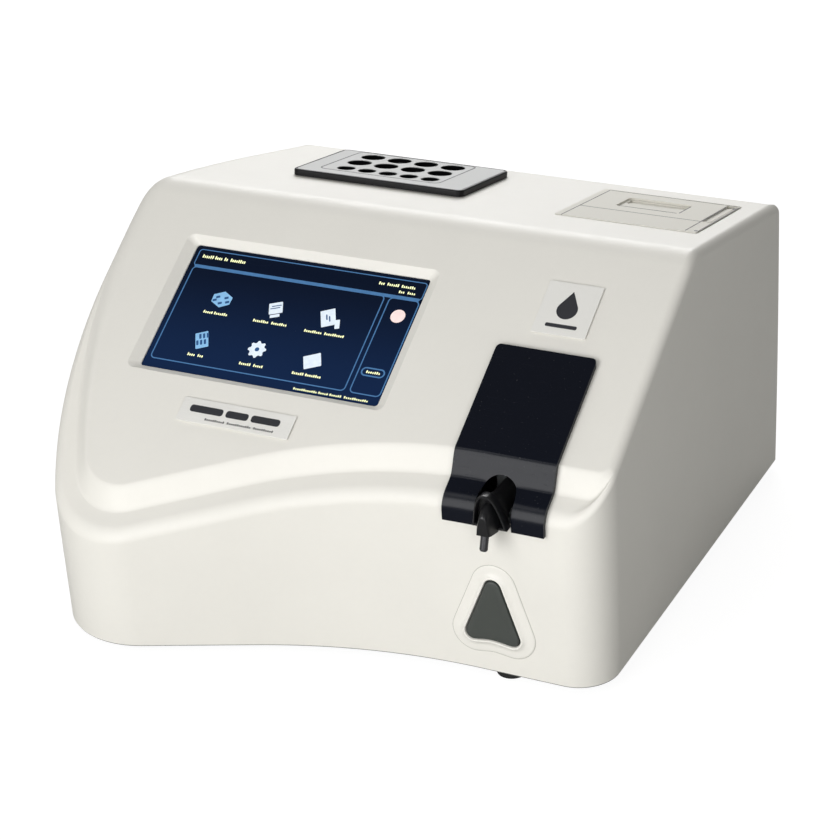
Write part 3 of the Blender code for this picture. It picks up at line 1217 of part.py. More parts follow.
def make_pump(root):
    floor = BASE_LOW + BASE_SHEET + GAP
    centre_z = floor + PUMP_STAND + PUMP_SIZE / 2
    upright = (math.pi / 2, 0.0, 0.0)
    at = (PUMP_X, PUMP_Y, centre_z)
    body = add("pump_body", slab(PUMP_SIZE, PUMP_SIZE, -PUMP_THICKNESS, 0.0, PUMP_CORNER), PEARL, root, at, upright)
    stand_bm = slab(PUMP_SIZE, PUMP_THICKNESS, floor, centre_z - PUMP_SIZE / 2 + PUMP_CORNER)
    fuse(body, add("pump_stand", stand_bm, None, root, (PUMP_X, PUMP_Y + PUMP_THICKNESS / 2, 0.0)))
    pocket_bm = turned([(PUMP_POCKET_RADIUS, -PUMP_POCKET_DEPTH), (PUMP_POCKET_RADIUS, PAST)], 32)
    cut(body, add("pump_pocket", pocket_bm, None, root, at, upright))
    bore = SHAFT_RADIUS + GAP
    bore_bm = turned([(bore, -PUMP_THICKNESS - PAST), (bore, PAST)], 16)
    cut(body, add("pump_bore", bore_bm, None, root, at, upright))
    low = -PUMP_POCKET_DEPTH + GAP
    high = low + PUMP_ROTOR_HEIGHT
    rotor_bm = turned([(PUMP_HUB_RADIUS, low), (PUMP_HUB_RADIUS, high), (SHAFT_RADIUS, high), (SHAFT_RADIUS, low)], 24, True)
    rotor = add("pump_rotor", rotor_bm, BLACK, root, at, upright)
    for k in range(PUMP_ROLLERS):
        turn = math.tau * k / PUMP_ROLLERS
        x = PUMP_ARM_RADIUS * math.cos(turn)
        y = PUMP_ARM_RADIUS * math.sin(turn)
        roller_bm = turned([(PUMP_ROLLER_RADIUS, low), (PUMP_ROLLER_RADIUS, high)], 10, x=x, y=y)
        arm_low = low + PUMP_ROTOR_HEIGHT / 3
        arm_high = high - PUMP_ROTOR_HEIGHT / 3
        start = SHAFT_RADIUS + GAP
        arm_bm = slab(PUMP_ARM_RADIUS - start, PUMP_ROLLER_RADIUS, arm_low, arm_high, x=(PUMP_ARM_RADIUS + start) / 2)
        bmesh.ops.rotate(arm_bm, verts=arm_bm.verts, matrix=Matrix.Rotation(turn, 3, "Z"))
        fuse(rotor, add(f"pump_roller_{k}", roller_bm, None, root, at, upright))
        fuse(rotor, add(f"pump_arm_{k}", arm_bm, None, root, at, upright))
    motor_low = -PUMP_THICKNESS - GAP - PUMP_MOTOR_LENGTH
    spindle = SHAFT_RADIUS - SHAFT_PLAY
    motor_bm = turned([
        (PUMP_MOTOR_RADIUS, motor_low),
        (PUMP_MOTOR_RADIUS, -PUMP_THICKNESS - GAP),
        (spindle, -PUMP_THICKNESS - GAP),
        (spindle, high),
    ], 24)
    add("pump_motor", motor_bm, STEEL, root, at, upright)


def stand_on_origin(root):
    """Moves everything so that the middle of its box's underside is the origin."""
    bpy.context.view_layer.update()
    graph = bpy.context.evaluated_depsgraph_get()
    corners = []
    for thing in bpy.context.scene.objects:
        if thing.type == "MESH" and not thing.hide_render:
            solid = thing.evaluated_get(graph)
            corners.extend(solid.matrix_world @ Vector(corner) for corner in solid.bound_box)
    low = [min(corner[axis] for corner in corners) for axis in range(3)]
    high = [max(corner[axis] for corner in corners) for axis in range(3)]
    root.location = (-(low[0] + high[0]) / 2, -(low[1] + high[1]) / 2, -low[2])


def make_electronics(root):
    floor = BASE_LOW + BASE_SHEET + GAP
    low = floor + BOARD_LIFT
    at = (BOARD_X, BOARD_Y, 0.0)
    board = add("main_board", slab(BOARD_WIDTH, BOARD_DEPTH, low, low + BOARD_THICKNESS), BOARD_GREEN, root, at)
    for x in (-1, 1):
        for y in (-1, 1):
            post_at = (BOARD_X + x * (BOARD_WIDTH / 2 - STANDOFF_INSET), BOARD_Y + y * (BOARD_DEPTH / 2 - STANDOFF_INSET), 0.0)
            post_bm = turned([(STANDOFF_RADIUS, floor), (STANDOFF_RADIUS, low + BOARD_THICKNESS / 2)], 8)
            fuse(board, add(f"standoff_{x}_{y}", post_bm, None, root, post_at))
    top = low + BOARD_THICKNESS / 2
    chip_bm = slab(CHIP_SIZE, CHIP_SIZE, top, top + CHIP_HEIGHT, x=CHIP_X)
    plug_bm = slab(PLUG_WIDTH, PLUG_DEPTH, top, top + PLUG_HEIGHT, y=PLUG_Y)
    fuse(board, add("board_chip", chip_bm, None, root, at), add("board_plug", plug_bm, None, root, at))
    supply_at = (SUPPLY_X, SUPPLY_Y, 0.0)
    supply_bm = slab(SUPPLY_WIDTH, SUPPLY_DEPTH, floor, floor + SUPPLY_HEIGHT, SUPPLY_CORNER)
    supply = add("power_supply", supply_bm, STEEL, root, supply_at)
    places = [(step, 0.0) for step in spaced(SUPPLY_SLOTS, SUPPLY_SLOT_PITCH)]
    top = floor + SUPPLY_HEIGHT
    slots_bm = slots(places, SUPPLY_SLOT_WIDTH, SUPPLY_SLOT_LENGTH, top - SUPPLY_SLOT_DEPTH, top + PAST)
    cut(supply, add("supply_slots", slots_bm, None, root, supply_at))


clear_scene()

CREAM = look("case_cream", (0.78, 0.76, 0.69), 0.42)
CREAM_LIGHT = look("bezel_cream", (0.82, 0.81, 0.76), 0.40)
NAVY = look("screen_glass", (0.010, 0.025, 0.070), 0.12)
GLOSS_NAVY = look("cover_navy", (0.012, 0.016, 0.028), 0.16)
BLACK = look("black_moulding", (0.015, 0.015, 0.017), 0.38)
BLACK_STEEL = look("dark_metal", (0.020, 0.020, 0.022), 0.35, 0.6)
KEY_GREY = look("key_grey", (0.050, 0.056, 0.052), 0.45)
PEARL = look("pale_plastic", (0.80, 0.80, 0.77), 0.45)
SILVER = look("silver_label", (0.55, 0.55, 0.54), 0.35, 0.3)
ALUMINIUM = look("aluminium", (0.62, 0.63, 0.65), 0.35, 1.0)
ALUMINIUM_DARK = look("dark_aluminium", (0.10, 0.10, 0.11), 0.40, 0.8)
STEEL = look("steel", (0.55, 0.56, 0.57), 0.32, 1.0)
COPPER = look("heater_foil", (0.45, 0.22, 0.08), 0.40, 0.6)
RUBBER = look("rubber", (0.018, 0.018, 0.018), 0.75)
PAPER = look("paper", (0.85, 0.85, 0.84), 0.80)
CERAMIC = look("ceramic", (0.78, 0.76, 0.70), 0.55)
GREY_PAINT = look("grey_paint", (0.52, 0.52, 0.50), 0.50)
BOARD_GREEN = look("board_green", (0.020, 0.120, 0.050), 0.45)
CLEAR = look("clear_glass", (0.80, 0.84, 0.86), 0.05, 0.0, 0.35)

ROOT = frame("analyzer", None, (0.0, 0.0, 0.0))
SLOPE = frame("slope_frame", ROOT, (0.0, CREASE_Y, CREASE_Z), SLOPE_ANGLE)
ROOF = frame("roof_frame", ROOT, (0.0, CREASE_Y, CREASE_Z), -ROOF_ANGLE)
FRONT = frame("front_frame", ROOT, (0.0, FRONT_Y, 0.0), math.pi / 2)
NEAR_SKIN = add("near_skin", case_skin(GAP, 8, 0.0), None, ROOT)

make_case(ROOT, SLOPE, ROOF, FRONT)
make_screen(SLOPE)
make_plates(SLOPE)
make_cover(ROOT, NEAR_SKIN)
make_aspirator(ROOT)
make_start_key(FRONT, NEAR_SKIN)
make_incubator(ROOT, ROOF)
make_printer(ROOF)
make_base(ROOT)
make_rear(ROOT)
make_optics(ROOT)
make_pump(ROOT)
make_electronics(ROOT)
stand_on_origin(ROOT)
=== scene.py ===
"""Benchtop chemistry analyzer: finishes and fine shapes laid over its frame, in a plain studio."""

import json
import math

import bmesh
import bpy
from bpy.props import FloatProperty, FloatVectorProperty, IntProperty, PointerProperty
from mathutils import Matrix, Vector

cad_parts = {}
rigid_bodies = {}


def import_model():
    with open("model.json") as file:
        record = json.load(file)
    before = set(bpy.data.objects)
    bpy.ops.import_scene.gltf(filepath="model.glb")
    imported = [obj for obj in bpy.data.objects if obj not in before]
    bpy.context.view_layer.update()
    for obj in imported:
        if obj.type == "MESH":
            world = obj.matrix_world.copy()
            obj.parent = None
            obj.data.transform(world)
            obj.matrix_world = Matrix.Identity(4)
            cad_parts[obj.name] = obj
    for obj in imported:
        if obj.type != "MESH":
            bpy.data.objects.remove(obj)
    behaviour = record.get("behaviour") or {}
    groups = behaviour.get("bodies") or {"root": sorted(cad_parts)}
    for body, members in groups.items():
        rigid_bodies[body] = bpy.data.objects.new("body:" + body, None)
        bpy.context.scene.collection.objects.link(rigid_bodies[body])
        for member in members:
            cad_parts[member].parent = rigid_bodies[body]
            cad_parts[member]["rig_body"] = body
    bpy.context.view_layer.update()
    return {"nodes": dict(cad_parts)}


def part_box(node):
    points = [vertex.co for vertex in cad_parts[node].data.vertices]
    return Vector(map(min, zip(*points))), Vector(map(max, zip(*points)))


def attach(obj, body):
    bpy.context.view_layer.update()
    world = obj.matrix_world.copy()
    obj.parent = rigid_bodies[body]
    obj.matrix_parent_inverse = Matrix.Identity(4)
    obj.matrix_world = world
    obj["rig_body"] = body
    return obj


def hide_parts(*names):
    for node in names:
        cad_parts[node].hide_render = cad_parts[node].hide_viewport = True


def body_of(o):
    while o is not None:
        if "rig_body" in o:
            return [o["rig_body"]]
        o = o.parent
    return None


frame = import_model()

bl_info = {
    "name": "Benchtop Analyzer Finish",
    "version": (1, 0, 0),
    "blender": (4, 5, 0),
    "location": "3D View > Sidebar > Analyzer",
    "description": "Moulded case, lit screen, sampler, incubator, printer and studio of a benchtop analyzer",
    "category": "Object",
}

# Fits
WALL = 0.003
GAP = 0.0003
SLIDE_GAP = 0.0004
SMALLEST_RADIUS = 0.0004
PAST = 0.004
TALL = 0.250

# The case, laid out from the skirt's lower edge, inside the box of its frame
RIGHT_X = 0.1684
CHEEK_X = -0.1908
FRONT_Y = -0.0055
REAR_Y = 0.286
PANEL_Y = 0.2757
BARREL = 0.0006
# Corners as x, y and radius, counter-clockwise from the front right
PLAN = (
    (RIGHT_X, FRONT_Y, 0.024),
    (RIGHT_X, REAR_Y, 0.006),
    (-0.1672, REAR_Y, 0.0171),
    (-0.1962, 0.1751, 0.430),
    (CHEEK_X, 0.0218, 0.255),
    (-0.1380, -0.0725, 0.0491),
    (0.0266, FRONT_Y, 0.347),
)
HOLLOW_REAR_Y = 0.279
HOLLOW = tuple((x, HOLLOW_REAR_Y if y == REAR_Y else y, radius) for x, y, radius in PLAN)
FRONT_HEIGHT = 0.11464
CREASE_Y = 0.140
SLOPE_ANGLE = math.radians(31.27)
ROOF_ANGLE = math.radians(10.65)
CREASE_Z = FRONT_HEIGHT + (CREASE_Y - FRONT_Y) * math.tan(SLOPE_ANGLE)
CREASE_BLEND = 0.0091
STEP_DROP = 0.010
STEP_WIDTH = 0.0085
SHELF_WIDTH = 0.0125
SKIRT_EDGE_RADIUS = 0.006
LEFT_EDGE_RADIUS = 0.0197
RIGHT_EDGE_RADIUS = 0.0058
REAR_EDGE_RADIUS = 0.0122
REAR_WINDOW_WIDTH = 0.250
REAR_WINDOW_HEIGHT = 0.096
REAR_WINDOW_LOW = 0.018
REAR_WINDOW_CORNER = 0.004
BASE_LOW_Z = 0.002
BASE_TOP_Z = 0.004
VENTS = 5
VENT_LENGTH = 0.050
VENT_WIDTH = 0.0035
VENT_CORNER = 0.0016
VENT_PITCH = 0.0085
VENT_X = -0.070
VENT_Y = 0.110

# Screen and plates
SCREEN_X = -0.0590
SCREEN_S = 0.0849
SCREEN_WIDTH = 0.156
SCREEN_HEIGHT = 0.088
SCREEN_DEPTH = 0.005
SCREEN_LIP = 0.0008
BEVEL_SIDE = 0.0062
BEVEL_END = 0.0045
SCREEN_CORNER = 0.0022
COLLAR_WIDTH = 0.180
COLLAR_HEIGHT = 0.110
COLLAR_TOP = 0.002
PANE_MARGIN = 0.002
PANE_THICKNESS = 0.003
PLATE_TOP = 0.0011
MODEL_X = -0.0591
MODEL_S = 0.1545
EMBLEM_X = 0.1084
EMBLEM_S = 0.0499
DROP_POINT = 0.0118
DROP_RADIUS = 0.0062
DROP_Y = -0.0006
PRINT_SUNK = 0.0001
PRINT_HIGH = 0.00006

# The screen's picture, from the middle of the pane. A frame is its width, depth, radius, x, y and line,
# a label its x, y, size, gap and widths, and a sheet its width, depth, x, y and turn; its lines add a radius.
PICTURE_LOW = -SCREEN_DEPTH - GAP + 0.00001
PICTURE_HIGH = PICTURE_LOW + 0.00005
PICTURE_TOP = PICTURE_HIGH + 0.00004
HEADER_BAND = (0.1500, 0.0022, 0.0010, 0.0006, 0.0296)
SCREEN_FRAMES = (
    (0.1525, 0.0122, 0.0022, 0.0006, 0.0358, 0.0006),
    (0.1292, 0.0668, 0.0030, -0.0105, -0.0040, 0.0007),
    (0.0198, 0.0664, 0.0030, 0.0667, -0.0042, 0.0007),
    (0.0150, 0.0060, 0.0029, 0.0664, -0.0222, 0.0009),
)
SCREEN_LABELS = (
    (-0.0576, 0.0371, 0.0026, 0.0012, 0.0074, 0.0052, 0.0030, 0.0098),
    (0.0584, 0.0373, 0.0022, 0.0014, 0.0040, 0.0078, 0.0092),
    (0.0662, 0.0334, 0.0020, 0.0012, 0.0044, 0.0052),
    (-0.0466, -0.0006, 0.0021, 0.0012, 0.0060, 0.0092),
    (-0.0097, -0.0010, 0.0021, 0.0012, 0.0110, 0.0104),
    (0.0267, -0.0022, 0.0021, 0.0012, 0.0120, 0.0132),
    (-0.0466, -0.0306, 0.0021, 0.0012, 0.0056, 0.0044),
    (-0.0097, -0.0308, 0.0021, 0.0012, 0.0082, 0.0060),
    (0.0272, -0.0310, 0.0021, 0.0012, 0.0074, 0.0106),
    (0.0664, -0.0222, 0.0020, 0.0012, 0.0088),
    (0.0470, -0.0410, 0.0018, 0.0012, 0.0150, 0.0060, 0.0080, 0.0160),
)
SHEET_TURN = 0.42
SHEETS = (
    (0.0085, 0.0078, -0.0100, 0.0093, 0.35),
    (0.0060, 0.0020, -0.0086, 0.0040, 0.35),
    (0.0090, 0.0115, 0.0250, 0.0085, SHEET_TURN),
    (0.0030, 0.0062, 0.0322, 0.0052, 0.30),
    (0.0106, 0.0090, 0.0270, -0.0215, SHEET_TURN),
)
SHEET_LINES = (
    (0.0062, 0.0006, -0.0100, 0.0110, 0.35, 0.0002),
    (0.0062, 0.0006, -0.0104, 0.0092, 0.35, 0.0002),
    (0.0008, 0.0040, 0.0240, 0.0088, SHEET_TURN, 0.0003),
    (0.0008, 0.0040, 0.0262, 0.0080, SHEET_TURN, 0.0003),
)
GEAR_X = -0.0100
GEAR_Y = -0.0200
GEAR_TEETH = 8
GEAR_RADIUS = 0.0058
GEAR_ROOT = 0.0046
GEAR_BORE = 0.0014
DRUM = (
    (-0.0530, 0.0120), (-0.0528, 0.0070), (-0.0462, 0.0036), (-0.0404, 0.0066), (-0.0402, 0.0116),
    (-0.0466, 0.0150),
)
DRUM_HOLES = (
    (-0.0496, 0.0106), (-0.0440, 0.0108), (-0.0468, 0.0066), (-0.0510, 0.0082), (-0.0424, 0.0080),
)

# Sampler
COVER_X = 0.1070
COVER_WIDTH = 0.0602
COVER_THICKNESS = 0.0026
COVER_TOP_Y = 0.0705
COVER_LOW_Z = FRONT_HEIGHT - 0.0209
COVER_CORNER = 0.0028
NOTCH_WIDTH = 0.0220
NOTCH_HIGH_Z = FRONT_HEIGHT + 0.0042
NOTCH_REAR_Y = 0.0130
PEG_RADIUS = 0.0022
PEG_LENGTH = 0.0075
PEG_Y = 0.0560
PEG_SPREAD = 0.0170
BAY_WIDTH = 0.046
BAY_LOW_Z = FRONT_HEIGHT - 0.0191
BAY_REAR_Y = 0.062
HOOD_WIDTH = 0.0204
HOOD_LOW_Z = FRONT_HEIGHT - 0.0188
HOOD_HIGH_Z = FRONT_HEIGHT + 0.0040
HOOD_LOW_REACH = 0.0125
HOOD_HIGH_REACH = 0.0177
HOOD_REAR_Y = 0.0247
HOOD_REAR_SHARE = 0.60
TONGUE_WIDTH = 0.0112
TONGUE_HIGH_Z = FRONT_HEIGHT - 0.0026
TONGUE_REACH = 0.0212
TUBE_LENGTH = 0.0178
TUBE_Y = -0.0150
TUBE_Z = 0.1035

# Start key
KEY_X = 0.1027
KEY_Z = FRONT_HEIGHT * 0.3315
# The apex, the left foot, the arch between the feet and the right foot, as x, y and radius
KEY_CORNERS = (
    (0.0024, 0.0298, 0.0045),
    (-0.0180, -0.0190, 0.0045),
    (0.0, -0.0162, 0.0300),
    (0.0190, -0.0190, 0.0045),
)
KEY_HEIGHT = 0.0030
KEY_BACK = 0.0060
STALK_RADIUS = 0.0030
STALK_REACH = 0.0095
BEZEL_SLEEVE = 0.0016
BEZEL_DEPTH = 0.0140

# Incubator and printer
INCUBATOR_X = -0.0588
INCUBATOR_T = 0.0863
INCUBATOR_WIDTH = 0.1125
INCUBATOR_DEPTH = 0.0705
INCUBATOR_HEIGHT = 0.0042
INCUBATOR_CORNER = 0.0045
RIM_LIP = 0.0040
OPENING_MARGIN = 0.0028
FACE_MARGIN = 0.0016
FACE_THICKNESS = 0.0005
COLLAR_DEPTH = 0.0036
BLOCK_MARGIN = 0.0036
BLOCK_LOW_Z = 0.1480
WELL_FLOOR = 0.0040
FACE_RING = (0.0833, 0.0579, 0.0050, -0.0038, 0.0038)
FACE_RING_WIDTH = 0.0012
WELLS = (
    *((-0.0895 + 0.0187 * k, 0.1080, 0.0073) for k in range(4)),
    *((-0.0895 + 0.0187 * k, 0.0892, 0.0073) for k in range(4)),
    *((-0.0891 + 0.0145 * k, 0.0706, 0.0054) for k in range(5)),
)
PRINTER_X = 0.1085
PRINTER_T = 0.0815
PRINTER_WIDTH = 0.0890
PRINTER_DEPTH = 0.0790
PRINTER_CORNER = 0.0015
PRINTER_PROUD = 0.0006
DOOR_X = 0.1067
DOOR_WIDTH = 0.0760
DOOR_REAR_MARGIN = 0.0025
DOOR_PIN_X = 0.1489
SEAM_T = 0.0705
GRIP_T = 0.0945
GRIP_WIDTH = 0.0400
GRIP_DEPTH = 0.0240

# Feet and rear
FOOT_X = 0.1092
FOOT_Y = 0.0062
FOOT_HEIGHT = 0.006
FOOT_RADIUS = 0.0089
FOOT_TOP = 0.0017
FEET = {
    "foot_front_right": (FOOT_X - 0.0011, FOOT_Y), "foot_front_left": (-0.1250, -0.0150),
    "foot_rear_right": (0.1400, 0.2450), "foot_rear_left": (-0.1450, 0.2450),
}
WASTE_X = -0.0150
WASTE_Z = 0.0400
SCREWS = ((-0.1190, 0.0260), (0.1190, 0.0260), (-0.1190, 0.1060), (0.1190, 0.1060))
SCREW_HEAD = 0.0018

# Studio
CAMERA_LENS = 105.75
CAMERA_SENSOR = 36.0
CAMERA_TURN = math.radians(27.8304)
CAMERA_DIP = math.radians(27.4824)
CAMERA_ROLL = math.radians(-3.5494)
FLOOR_RADIUS = 3.0
FLOOR_THICKNESS = 0.02
FLOOR_BOUNCE = (0.46, 0.46, 0.45)
FLOOR_LIGHT = 0.47
LAMP_TARGET = Vector((0.0, 0.0, 0.10))
LAMPS = {
    "rear": ((-0.6, 1.5, 1.0), 1.2),
    "front": ((-0.40, -1.7, 0.75), 1.2),
    "side": ((0.75, -1.05, 0.40), 0.6),
    "top": ((-0.55, -0.85, 1.35), 0.4),
}

low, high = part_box("foot_front_right")
SHIFT = Vector(((low.x + high.x) / 2 - FOOT_X, (low.y + high.y) / 2 - FOOT_Y, FOOT_HEIGHT))
ROW = Matrix.Translation(SHIFT)
CREASE = ROW @ Matrix.Translation((0.0, CREASE_Y, CREASE_Z))
SLOPE = CREASE @ Matrix.Rotation(SLOPE_ANGLE, 4, "X")
ROOF = CREASE @ Matrix.Rotation(-ROOF_ANGLE, 4, "X")
QUARTER = Matrix.Rotation(math.pi / 2, 4, "X")
SAMPLER = ROW @ QUARTER @ Matrix.Translation((COVER_X, 0.0, 0.0))
FRONT = ROW @ Matrix.Translation((0.0, FRONT_Y, 0.0)) @ QUARTER
REAR = ROW @ Matrix.Translation((0.0, PANEL_Y, 0.0)) @ Matrix.Rotation(math.pi, 4, "Z") @ QUARTER
SCREEN = SLOPE @ Matrix.Translation((SCREEN_X, -SCREEN_S, 0.0))
INCUBATOR = ROOF @ Matrix.Translation((INCUBATOR_X, INCUBATOR_T, 0.0))
KEY = FRONT @ Matrix.Translation((KEY_X, KEY_Z, 0.0))
CAMERA_PLACE = SHIFT + Vector((0.61325, -1.0431, 0.76144))


class CaseSettings(bpy.types.PropertyGroup):
    colour: FloatVectorProperty(
        name="Case colour", description="Colour of the moulded case", subtype="COLOR",
        default=(0.800, 0.782, 0.725), min=0.0, max=1.0)
    grain: FloatProperty(
        name="Grain size", description="Size of the moulded texture's cells", unit="LENGTH",
        default=0.0007, min=0.0001, max=0.01)
    grain_depth: FloatProperty(
        name="Grain depth", description="Depth of the moulded texture", unit="LENGTH",
        default=0.00001, min=0.0, max=0.001)
    corner_steps: IntProperty(
        name="Corner steps", description="Faces round each corner of the case's plan",
        default=22, min=4, max=64)
    edge_rings: IntProperty(
        name="Edge rings", description="Rings of faces round half of the case's top edges",
        default=12, min=4, max=32)


class ScreenSettings(bpy.types.PropertyGroup):
    ground: FloatVectorProperty(
        name="Ground", description="Colour of the screen's ground", subtype="COLOR",
        default=(0.0022, 0.0085, 0.0300), min=0.0, max=1.0)
    lines: FloatVectorProperty(
        name="Lines", description="Colour of the screen's frames", subtype="COLOR",
        default=(0.045, 0.120, 0.250), min=0.0, max=1.0)
    labels: FloatVectorProperty(
        name="Labels", description="Colour of the bars below the icons", subtype="COLOR",
        default=(0.78, 0.80, 0.46), min=0.0, max=1.0)
    glow: FloatProperty(
        name="Glow", description="How brightly the screen's picture shines", default=0.8, min=0.0, max=10.0)


class SamplerSettings(bpy.types.PropertyGroup):
    colour: FloatVectorProperty(
        name="Cover colour", description="Colour of the glossy cover", subtype="COLOR",
        default=(0.0030, 0.0042, 0.0090), min=0.0, max=1.0)
    edge: FloatProperty(
        name="Cover edge", description="Rounding of the cover's edges", unit="LENGTH",
        default=0.0005, min=0.0, max=0.001)
    tube_radius: FloatProperty(
        name="Tube radius", description="Radius of the sampling tube", unit="LENGTH",
        default=0.0023, min=0.001, max=0.003)
    tube_lean: FloatProperty(
        name="Tube lean", description="How far the sampling tube leans forwards", subtype="ANGLE",
        default=math.radians(19), min=0.0, max=math.radians(30))


class KeySettings(bpy.types.PropertyGroup):
    colour: FloatVectorProperty(
        name="Key colour", description="Colour of the start key", subtype="COLOR",
        default=(0.052, 0.058, 0.052), min=0.0, max=1.0)
    dome: FloatProperty(
        name="Key dome", description="How far the key's face rises in the middle", unit="LENGTH",
        default=0.0004, min=0.0, max=0.002)


class IncubatorSettings(bpy.types.PropertyGroup):
    face: FloatVectorProperty(
        name="Face colour", description="Colour of the incubator's printed face", subtype="COLOR",
        default=(0.41, 0.415, 0.41), min=0.0, max=1.0)
    chamfer: FloatProperty(
        name="Well chamfer", description="Width of the chamfer round each well", unit="LENGTH",
        default=0.0004, min=0.0, max=0.001)


class DetailSettings(bpy.types.PropertyGroup):
    round_steps: IntProperty(
        name="Round steps", description="Faces round the small turned pieces", default=40, min=12, max=96)


class StageSettings(bpy.types.PropertyGroup):
    rear_power: FloatProperty(
        name="Rear light", description="Power of the lamp behind and above", default=23.5, min=0.0, max=500.0)
    front_power: FloatProperty(
        name="Front light", description="Power of the lamp in front", default=22.0, min=0.0, max=500.0)
    side_power: FloatProperty(
        name="Side light", description="Power of the weak lamp at the right", default=4.6, min=0.0, max=500.0)
    top_power: FloatProperty(
        name="Top light", description="Power of the small lamp that draws the gloss",
        default=1.2, min=0.0, max=500.0)
    sky: FloatProperty(
        name="Sky", description="Brightness of the sky that lights the object",
        default=0.21, min=0.0, max=2.0)
    floor: FloatProperty(
        name="Floor", description="Share of the floor's tone that takes shadows",
        default=0.16, min=0.0, max=1.0)


SETTINGS = {
    "analyzer_case": CaseSettings, "analyzer_screen": ScreenSettings, "analyzer_sampler": SamplerSettings,
    "analyzer_key": KeySettings, "analyzer_incubator": IncubatorSettings, "analyzer_detail": DetailSettings,
    "analyzer_stage": StageSettings,
}


class Value:
    """A socket of numbers whose sums add their Math nodes."""

    def __init__(self, tree, socket):
        self.tree = tree
        self.socket = socket

    def maths(self, operation, *values):
        node = self.tree.nodes.new("ShaderNodeMath")
        node.operation = operation
        for port, value in zip(node.inputs, values):
            feed(self.tree, port, value)
        return Value(self.tree, node.outputs[0])

    def __add__(self, other):
        return self.maths("ADD", self, other)

    def __radd__(self, other):
        return self.maths("ADD", other, self)

    def __sub__(self, other):
        return self.maths("SUBTRACT", self, other)

    def __rsub__(self, other):
        return self.maths("SUBTRACT", other, self)

    def __mul__(self, other):
        return self.maths("MULTIPLY", self, other)

    def __rmul__(self, other):
        return self.maths("MULTIPLY", other, self)

    def __abs__(self):
        return self.maths("ABSOLUTE", self)

    def between(self, low, high):
        """0 at low, 1 at high, eased and held beyond."""
        node = self.tree.nodes.new("ShaderNodeMapRange")
        node.interpolation_type = "SMOOTHSTEP"
        feed(self.tree, node.inputs["Value"], self)
        feed(self.tree, node.inputs["From Min"], low)
        feed(self.tree, node.inputs["From Max"], high)
        return Value(self.tree, node.outputs["Result"])


def feed(tree, port, value):
    """Links a value to a socket, or sets the socket to it."""
    if isinstance(value, Value):
        tree.links.new(value.socket, port)
    elif isinstance(value, bpy.types.NodeSocket):
        tree.links.new(value, port)
    elif port.type == "RGBA" and len(value) == 3:
        port.default_value = (*value, 1.0)
    else:
        port.default_value = value


class Finish:
    """A material on one Principled shader, with the few nodes that its surface needs."""

    def __init__(self, name, colour, roughness, **shader):
        self.material = bpy.data.materials.new(name)
        self.material.use_nodes = True
        self.tree = self.material.node_tree
        self.shader = self.tree.nodes["Principled BSDF"]
        self.material.diffuse_color = (*colour[:3], 1.0)
        self.set("Base Color", colour)
        self.set("Roughness", roughness)
        for port, value in shader.items():
            self.set(port.replace("_", " "), value)
        self.place = self.node("ShaderNodeTexCoord", output="Object")

    def set(self, port, value):
        feed(self.tree, self.shader.inputs[port], value)

    def node(self, kind, settings=None, sockets=None, output=0):
        made = self.tree.nodes.new(kind)
        for key, value in (settings or {}).items():
            setattr(made, key, value)
        for key, value in (sockets or {}).items():
            feed(self.tree, made.inputs[key], value)
        return made.outputs[output]

    def noise(self, size, detail=2.0, roughness=0.5, stretch=(1.0, 1.0, 1.0)):
        """Noise from 0 to 1 whose patches are about size across."""
        place = self.place
        if stretch != (1.0, 1.0, 1.0):
            place = self.node("ShaderNodeMapping", sockets={"Vector": place, "Scale": stretch})
        sockets = {"Vector": place, "Scale": 1.0 / size, "Detail": detail, "Roughness": roughness}
        return Value(self.tree, self.node("ShaderNodeTexNoise", sockets=sockets))

    def cells(self, size):
        """The distance from the middle of cells about size across."""
        sockets = {"Vector": self.place, "Scale": 1.0 / size}
        return Value(self.tree, self.node("ShaderNodeTexVoronoi", sockets=sockets, output="Distance"))

    def along(self, axis, matrix=None):
        """How far a point lies along an axis, in metres, or along that of a tilted frame."""
        place = self.place
        if matrix is not None:
            into = matrix.inverted()
            sockets = {"Vector": place, "Location": into.to_translation(), "Rotation": into.to_euler()}
            place = self.node("ShaderNodeMapping", sockets=sockets)
        split = self.node("ShaderNodeSeparateXYZ", sockets={"Vector": place}, output=axis)
        return Value(self.tree, split)

    def mix(self, share, first, second):
        return self.node("ShaderNodeMix", {"data_type": "RGBA"}, {0: share, 6: first, 7: second}, output=2)

    def bump(self, height, depth):
        """Raises the surface by height, a value from 0 to 1, times depth."""
        sockets = {"Height": height * depth, "Strength": 1.0, "Distance": 1.0}
        self.set("Normal", self.node("ShaderNodeBump", sockets=sockets))


def shaded(colour, factor):
    return tuple(min(1.0, part * factor) for part in colour)


def moulded(name, colour, roughness, grain=0.0007, depth=0.00001, mottle=0.035, **shader):
    """Moulded plastic with a fine spark-eroded grain, faint clouding and handling marks."""
    made = Finish(name, colour, roughness, **shader)
    clouds = made.noise(0.045, 3.0, 0.55)
    specks = made.noise(0.0035, 2.0, 0.6)
    tint = made.mix(clouds * 0.7 + specks * 0.3, shaded(colour, 1.0 - mottle), shaded(colour, 1.0 + mottle))
    made.set("Base Color", tint)
    worn = made.noise(0.018, 4.0, 0.62)
    made.set("Roughness", worn * 0.12 + (roughness - 0.06))
    grains = made.noise(grain, 2.0, 0.65)
    made.bump(grains, depth)
    return made.material


